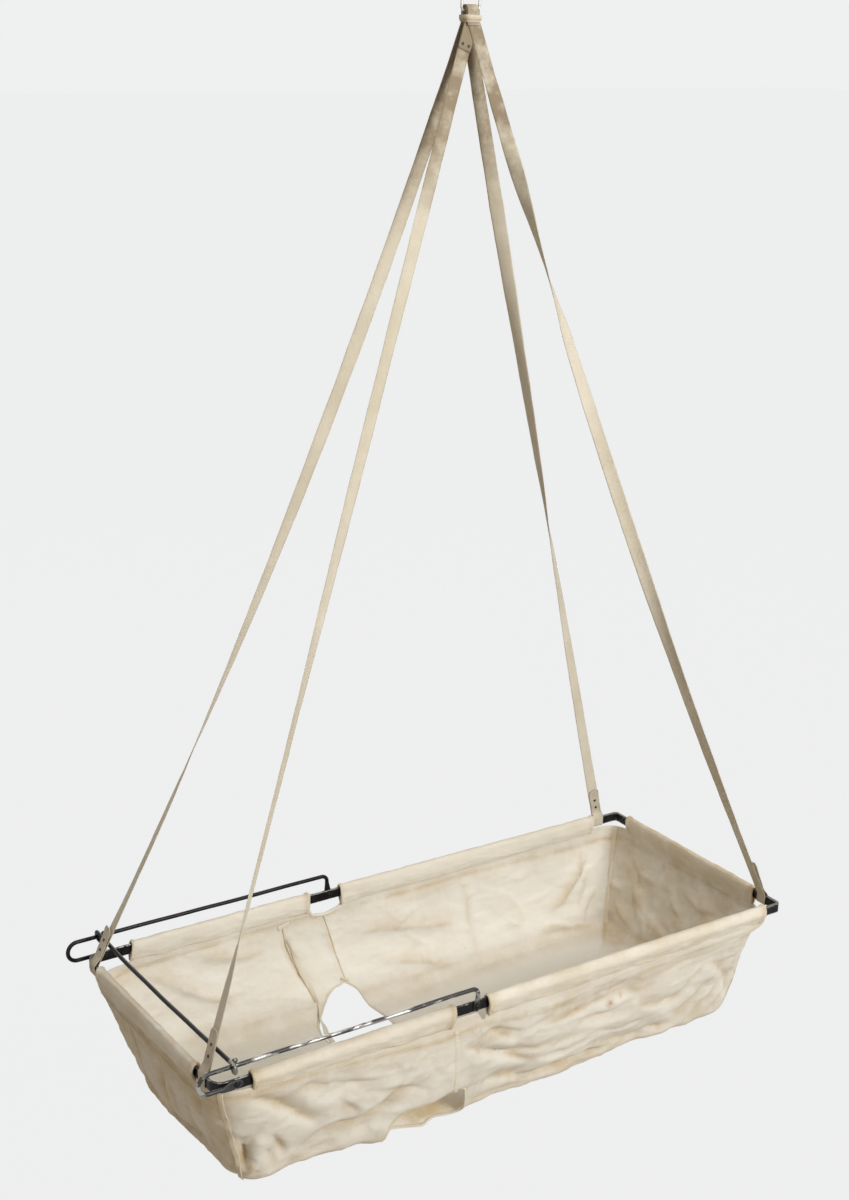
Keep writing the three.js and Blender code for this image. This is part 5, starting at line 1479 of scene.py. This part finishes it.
def setRivet(name, spot, facing, plan, grip, steel, node):
    settleNodes(name, [spot], [], [facing], "facing", rivetsOnPoints,
                {"Head radius": plan["head"] / 1000, "Head height": plan["height"] / 1000,
                 "Shank radius": plan["shank"] / 1000, "Grip": grip / 1000, "Steel": steel}, (node,))


def makeRivets(plan):
    spots = ("pivot", metalPlan["pivotX"], 0.0), ("corner", metalPlan["cornerX"], metalPlan["railFootRise"])
    for side, sideName in ((-1, "near"), (1, "far")):
        for spot, x, z in spots:
            setRivet(f"railRivet{sideName.title()}{spot.title()}", (x, side * plan["inside"], z),
                     (0.0, float(side), 0.0), plan, plan["grip"], blackPaint,
                     f"rail_rivet_{sideName}_{spot}")


def makeStuds(plan):
    for strapName, piece in strapPlan["pieces"].items():
        main, _, _, foot, _, rise = strapSeat(strapPlan, piece)
        direction = unit(rise)
        outward = unit(np.cross(np.cross(main, upward), direction))
        if outward.dot(main) > 0:
            outward = -outward
        for n, height in enumerate(plan["heights"]):
            setRivet(f"stud{strapName[5:]}{n + 1}", foot + direction * height / direction[2] - outward * tapeHalf,
                     outward, plan, tapeGrip, darkNail,
                     f"{piece['node'].replace('strap_', 'strap_stud_')}_{n + 1}")


# Two nails through the far left strap's folded end
def makeNails(plan):
    lean = strapLean(strapPlan, strapPlan["pieces"]["strapNearLeft"])
    top = np.array([0.0, -strapPlan["linkWire"] / 2 - tapeHalf, strapPlan["drop"]])
    across = unit(np.array([1.0, 0, 0]) - lean * lean[0])
    outward = np.cross(lean, across)
    if outward[1] > 0:
        outward = -outward
    for n, sign in enumerate((-1, 1)):
        spot = top + lean * (plan["below"] / -lean[2]) + across * sign * plan["aside"] - outward * tapeHalf
        setRivet(f"strapNail{n + 1}", spot, outward, plan, tapeGrip, darkNail, f"strap_nail_{n + 1}")


makeRivets(rivetPlan)
makeStuds(studPlan)
makeNails(nailPlan)
print("rivets, studs and nails are set")


# Rolled hems round the leg openings
rimPlan = {
    "radius": 1.4, "unevenness": 0.2, "flatness": 0.75, "inset": 0.8, "stitchLift": 1.25, "soilAndShade": 0.4,
    "pieces": {"near": "nearOpeningHem", "far": "farOpeningHem"},
}


def makeRim(plan, side):
    spots, faces = lineOnTub(side, legOpenings[side], 2.2, closed=True)
    inward = np.cross(faces, tangentsOf(spots, closed=True))
    if np.einsum("ij,ij->i", inward, spots.mean(axis=0) - spots).mean() < 0:
        inward = -inward
    centres = spots - inward * plan["inset"]
    radius = plan["radius"] + plan["unevenness"] * noiseAt(centres, 0.09, 91, 2)
    section = roundSection(10) * np.array([1.0, plan["flatness"]])
    points, meshFaces, sheetMap = carrySection(centres, inward, faces, radius, radius, section, closed=True)
    for turn in (1, -1):
        sewAlong("overcast", centres + faces * plan["stitchLift"] * turn, faces * turn, closed=True)
    return makePiece(plan["pieces"][side], points, meshFaces, hemCloth, sheetMap,
                     {"soilAndShade": plan["soilAndShade"]})


rims = [makeRim(rimPlan, side) for side in rimPlan["pieces"]]


# Corner seams: a raised felled strip down each corner with stitches on both sides
seamPlan = {"halfWidth": 3.2, "halfThick": 0.7, "lift": 0.75, "rows": 51, "stitchAside": 0.72, "stitchLift": 0.45,
            "soilAndShade": 0.6}


def makeCornerSeams(plan):
    seams = []
    section = [(-1, -0.2), (-0.75, 0.55), (0, 0.8), (0.75, 0.55), (1, -0.2), (0.5, -0.9), (-0.5, -0.9)]
    for n, side in enumerate(wallSides):
        column = np.argmax(tubSides == side)
        line, normals = tubShape[1:plan["rows"], column], tubNormals[1:plan["rows"], column]
        for sign, label in ((1, "Outside"), (-1, "Inside")):
            centres = line + normals * plan["lift"] * sign
            wide = unit(np.cross(normals, tangentsOf(centres)))
            points, faces, sheetMap = carrySection(centres, wide, normals * sign, plan["halfWidth"],
                                                   plan["halfThick"], section)
            seams.append(makePiece(f"cornerSeam{n + 1}{label}", points, faces, hemCloth, sheetMap,
                                   {"soilAndShade": plan["soilAndShade"]}))
            aside = wide * plan["halfWidth"] * plan["stitchAside"]
            for edge in (-1, 1):
                sewAlong("running", centres + aside * edge + normals * sign * plan["stitchLift"], normals * sign)
    return seams


cornerSeams = makeCornerSeams(seamPlan)

# Stitched lines on the walls: side, points as along and height, face, number of rows
sewPlan = {"rowGap": 2.6, "lift": 0.25, "lines": [
    ("near", hemLines["near"], 1, 2),
    ("far", hemLines["far"][:3], -1, 2),
    ("far", hemLines["far"][3:], -1, 2),
    ("right", hemLines["right"], -1, 2),
    ("left", hemLines["left"], 1, 2),
    ("far", [(-81, -26), (-72, -68), (-61, -112)], -1, 1),
    ("far", [(129, -26), (141, -50), (143, -93), (150, -134)], -1, 1),
    ("near", [(-100, -12), (-82, -14), (-56, -12)], 1, 2),
]}


def sewWalls(plan):
    for side, line, face, rows in plan["lines"]:
        for row in range(rows):
            down = [(a, heightToDown(h) + row * plan["rowGap"]) for a, h in line]
            spots, normals = lineOnTub(side, down, 3.0)
            sewAlong("running", spots + normals * face * (tubPlan["thickness"] / 2 + plan["lift"]), normals * face)


def heightToDown(height):
    return -height - 20.0


sewWalls(sewPlan)


# A line on a wall given as (along, height)
def lineOnWall(side, line):
    return lineOnTub(side, [(a, heightToDown(h)) for a, h in line], 2.0)


# Bands sewn on the tub's walls; face is 1 outside and -1 inside, the line is in (along, height)
ribbonPlans = {
    "slitEdge": {
        "side": "far", "face": -1, "halfWidth": 1.1, "halfThick": 0.9, "lift": 1.2, "soilAndShade": 1.0,
        "line": [(-138, -36), (-135, -56), (-129, -76), (-122, -94), (-116, -110), (-110, -128), (-106, -140)]},
    "scoopSeam": {
        "side": "far", "face": -1, "halfWidth": 0.9, "halfThick": 0.7, "lift": 1.0, "soilAndShade": 0.9,
        "line": [(-79, -26), (-74, -48), (-69, -70), (-63, -98), (-58, -117)]},
    "slitTab": {
        "side": "far", "face": -1, "halfWidth": 3.2, "halfThick": 0.7, "lift": 1.3, "soilAndShade": 0.2,
        "line": [(-145, -33), (-142, -32.2), (-137, -30.5), (-132, -29), (-129, -28.4)]},
    "barTack": {
        "side": "far", "face": -1, "halfWidth": 1.9, "halfThick": 1.1, "lift": 1.4, "soilAndShade": 0.8,
        "line": [(-64, -117), (-59, -119), (-53, -120)]},
    "ladderBand": {
        "side": "near", "face": 1, "halfWidth": 3.2, "halfThick": 0.3, "lift": 0.35, "soilAndShade": 0.1,
        "line": [(-97, -26), (-93, -48), (-90, -71), (-87, -94), (-84, -110)]},
}


def makeRibbon(name, cloth=hemCloth, standsFor=()):
    plan = ribbonPlans[name]
    spots, normals = lineOnWall(plan["side"], plan["line"])
    normals = normals * plan["face"]
    centres = spots + normals * plan["lift"]
    wide = unit(np.cross(normals * plan["face"], tangentsOf(centres)))
    section = [(-1, -0.4), (-0.8, 0.6), (0, 1), (0.8, 0.6), (1, -0.4), (0, -1)]
    points, faces, sheetMap = carrySection(centres, wide, normals, plan["halfWidth"], plan["halfThick"], section)
    return makePiece(name, points, faces, cloth, sheetMap, {"soilAndShade": plan["soilAndShade"]}, standsFor=standsFor)


# The slit's two edges; the one nearer the opening turns over and runs on as a twisted strip across it
def makeSlitStrip(plan):
    found = [onTub("far", a, d) for a, d, *_ in plan["strip"]]
    spots = np.array([f[0] - f[1] * lift for f, (_, _, lift, _, _) in zip(found, plan["strip"])])
    path = smoothPath(spots, 2.0)
    share, marks = (lengthsAlong(line) / lengthsAlong(line)[-1] for line in (path, spots))
    halfWidth, turn = (np.interp(share, marks, [row[n] for row in plan["strip"]]) for n in (3, 4))
    turn = np.radians(turn)
    normals = unit(np.stack([np.interp(share, marks, [f[1][k] for f in found]) for k in range(3)], axis=1))
    ahead = tangentsOf(path)
    flat = unit(np.cross(normals, ahead))
    wide = unit(flat * np.cos(turn)[:, None] + normals * np.sin(turn)[:, None])
    thin = unit(np.cross(ahead, wide))
    section = [(-1, -0.5), (-0.9, 1), (-0.3, 1), (0.3, 1), (0.9, 1), (1, 0.5), (0.9, -1), (0.3, -1), (-0.3, -1),
               (-0.9, -1)]
    points, faces, sheetMap = carrySection(path, wide, thin, halfWidth, 0.6, section)
    return makePiece("slitStrip", points, faces, hemCloth, sheetMap, {"soilAndShade": plan["stripSoil"]})


# Slit beside the far opening, with a stitched tab over its upper end
slitPlan = {
    # along, distance down the sheet, lift off the wall, half width, turn in degrees
    "strip": [(-137, 16, 0.9, 0.8, 0), (-133, 30, 1.3, 2.8, 12), (-128, 45, 1.8, 1.6, 40), (-122, 62, 2.4, 4.0, 16),
              (-116, 80, 2.8, 4.8, 8), (-110, 98, 2.6, 4.2, 20), (-105, 114, 2.2, 2.6, 45), (-103, 130, 1.8, 2.4, 80),
              (-106, 148, 1.5, 3.2, 120), (-110, 165, 1.0, 3.4, 150), (-116, 184, 0.8, 3.4, 170),
              (-119, 205, 0.8, 3.4, 180)],
    "stripSoil": 0.35,
    "tabStitches": [(-145, -33), (-142, -29.6), (-135, -27.6), (-130, -26.2), (-129, -28.4), (-132, -31.8),
                    (-139, -34.2), (-145, -33)],
    "tabStitchLift": 2.1,
}
slitEdges = [makeRibbon("slitEdge"), makeSlitStrip(slitPlan), makeRibbon("scoopSeam")]
slitTab = makeRibbon("slitTab", canvasCloth, standsFor=("slit_tab",))
barTack = makeRibbon("barTack")
tabSpots, tabFaces = lineOnWall("far", slitPlan["tabStitches"])
sewAlong("running", tabSpots - tabFaces * slitPlan["tabStitchLift"], -tabFaces)

# Rolled edge of the scoop in the far wall, below the pivot
scoopPlan = {
    "line": [(-101, 1.5), (-95, 3.2), (-86, 5.4), (-78, 6.6), (-69, 5.4), (-60, 3.2), (-53, 1.5)],
    "endRise": 9.0, "radius": 2.1, "stitchLift": 1.9,
}
scoopSpots, scoopFaces = lineOnTub("far", scoopPlan["line"], 2.0)
scoopSpots[[0, -1], 2] += scoopPlan["endRise"]
scoopPath = smoothPath(scoopSpots[::3], 2.0)
scoopHem = rodAlong("scoopHem", scoopPath, scoopPlan["radius"], hemCloth, 10)
scoopFace = scoopFaces.mean(axis=0)
sewAlong("overcast", scoopPath - scoopFace * scoopPlan["stitchLift"], -scoopFace)

# Mended seam in the near wall, drawn together with crosswise stitches
ladderBand = makeRibbon("ladderBand", canvasCloth)
ladderSpots, ladderFaces = lineOnWall("near", ribbonPlans["ladderBand"]["line"])
sewAlong("ladder", ladderSpots + ladderFaces * 1.1, ladderFaces)
print("hems, seams and the slit are made")

# All stitches, each kind in one piece
stitchSizes = {
    "running": {"Spacing": 0.0034, "Length": 0.0026, "Thickness": 0.00032, "Tilt": 0.0},
    "overcast": {"Spacing": 0.0026, "Length": 0.0044, "Thickness": 0.00036, "Tilt": 1.2},
    "ladder": {"Spacing": 0.0036, "Length": 0.0078, "Thickness": 0.0006, "Tilt": 1.35},
}


def sewRuns(kind):
    points, lift, edges = [], [], []
    for line, faces in stitchRuns[kind]:
        first = len(points)
        points += [tuple(p) for p in line]
        lift += [tuple(f) for f in faces]
        edges += [(first + n, first + n + 1) for n in range(len(line) - 1)]
    return settleNodes(kind + "Stitches", points, edges, lift, "lift", stitchesAlongLines,
                       dict(stitchSizes[kind], Thread=threadCloth))


runningStitches, overcastStitches, ladderStitches = (sewRuns(kind) for kind in ("running", "overcast", "ladder"))
print("all stitches are sewn")
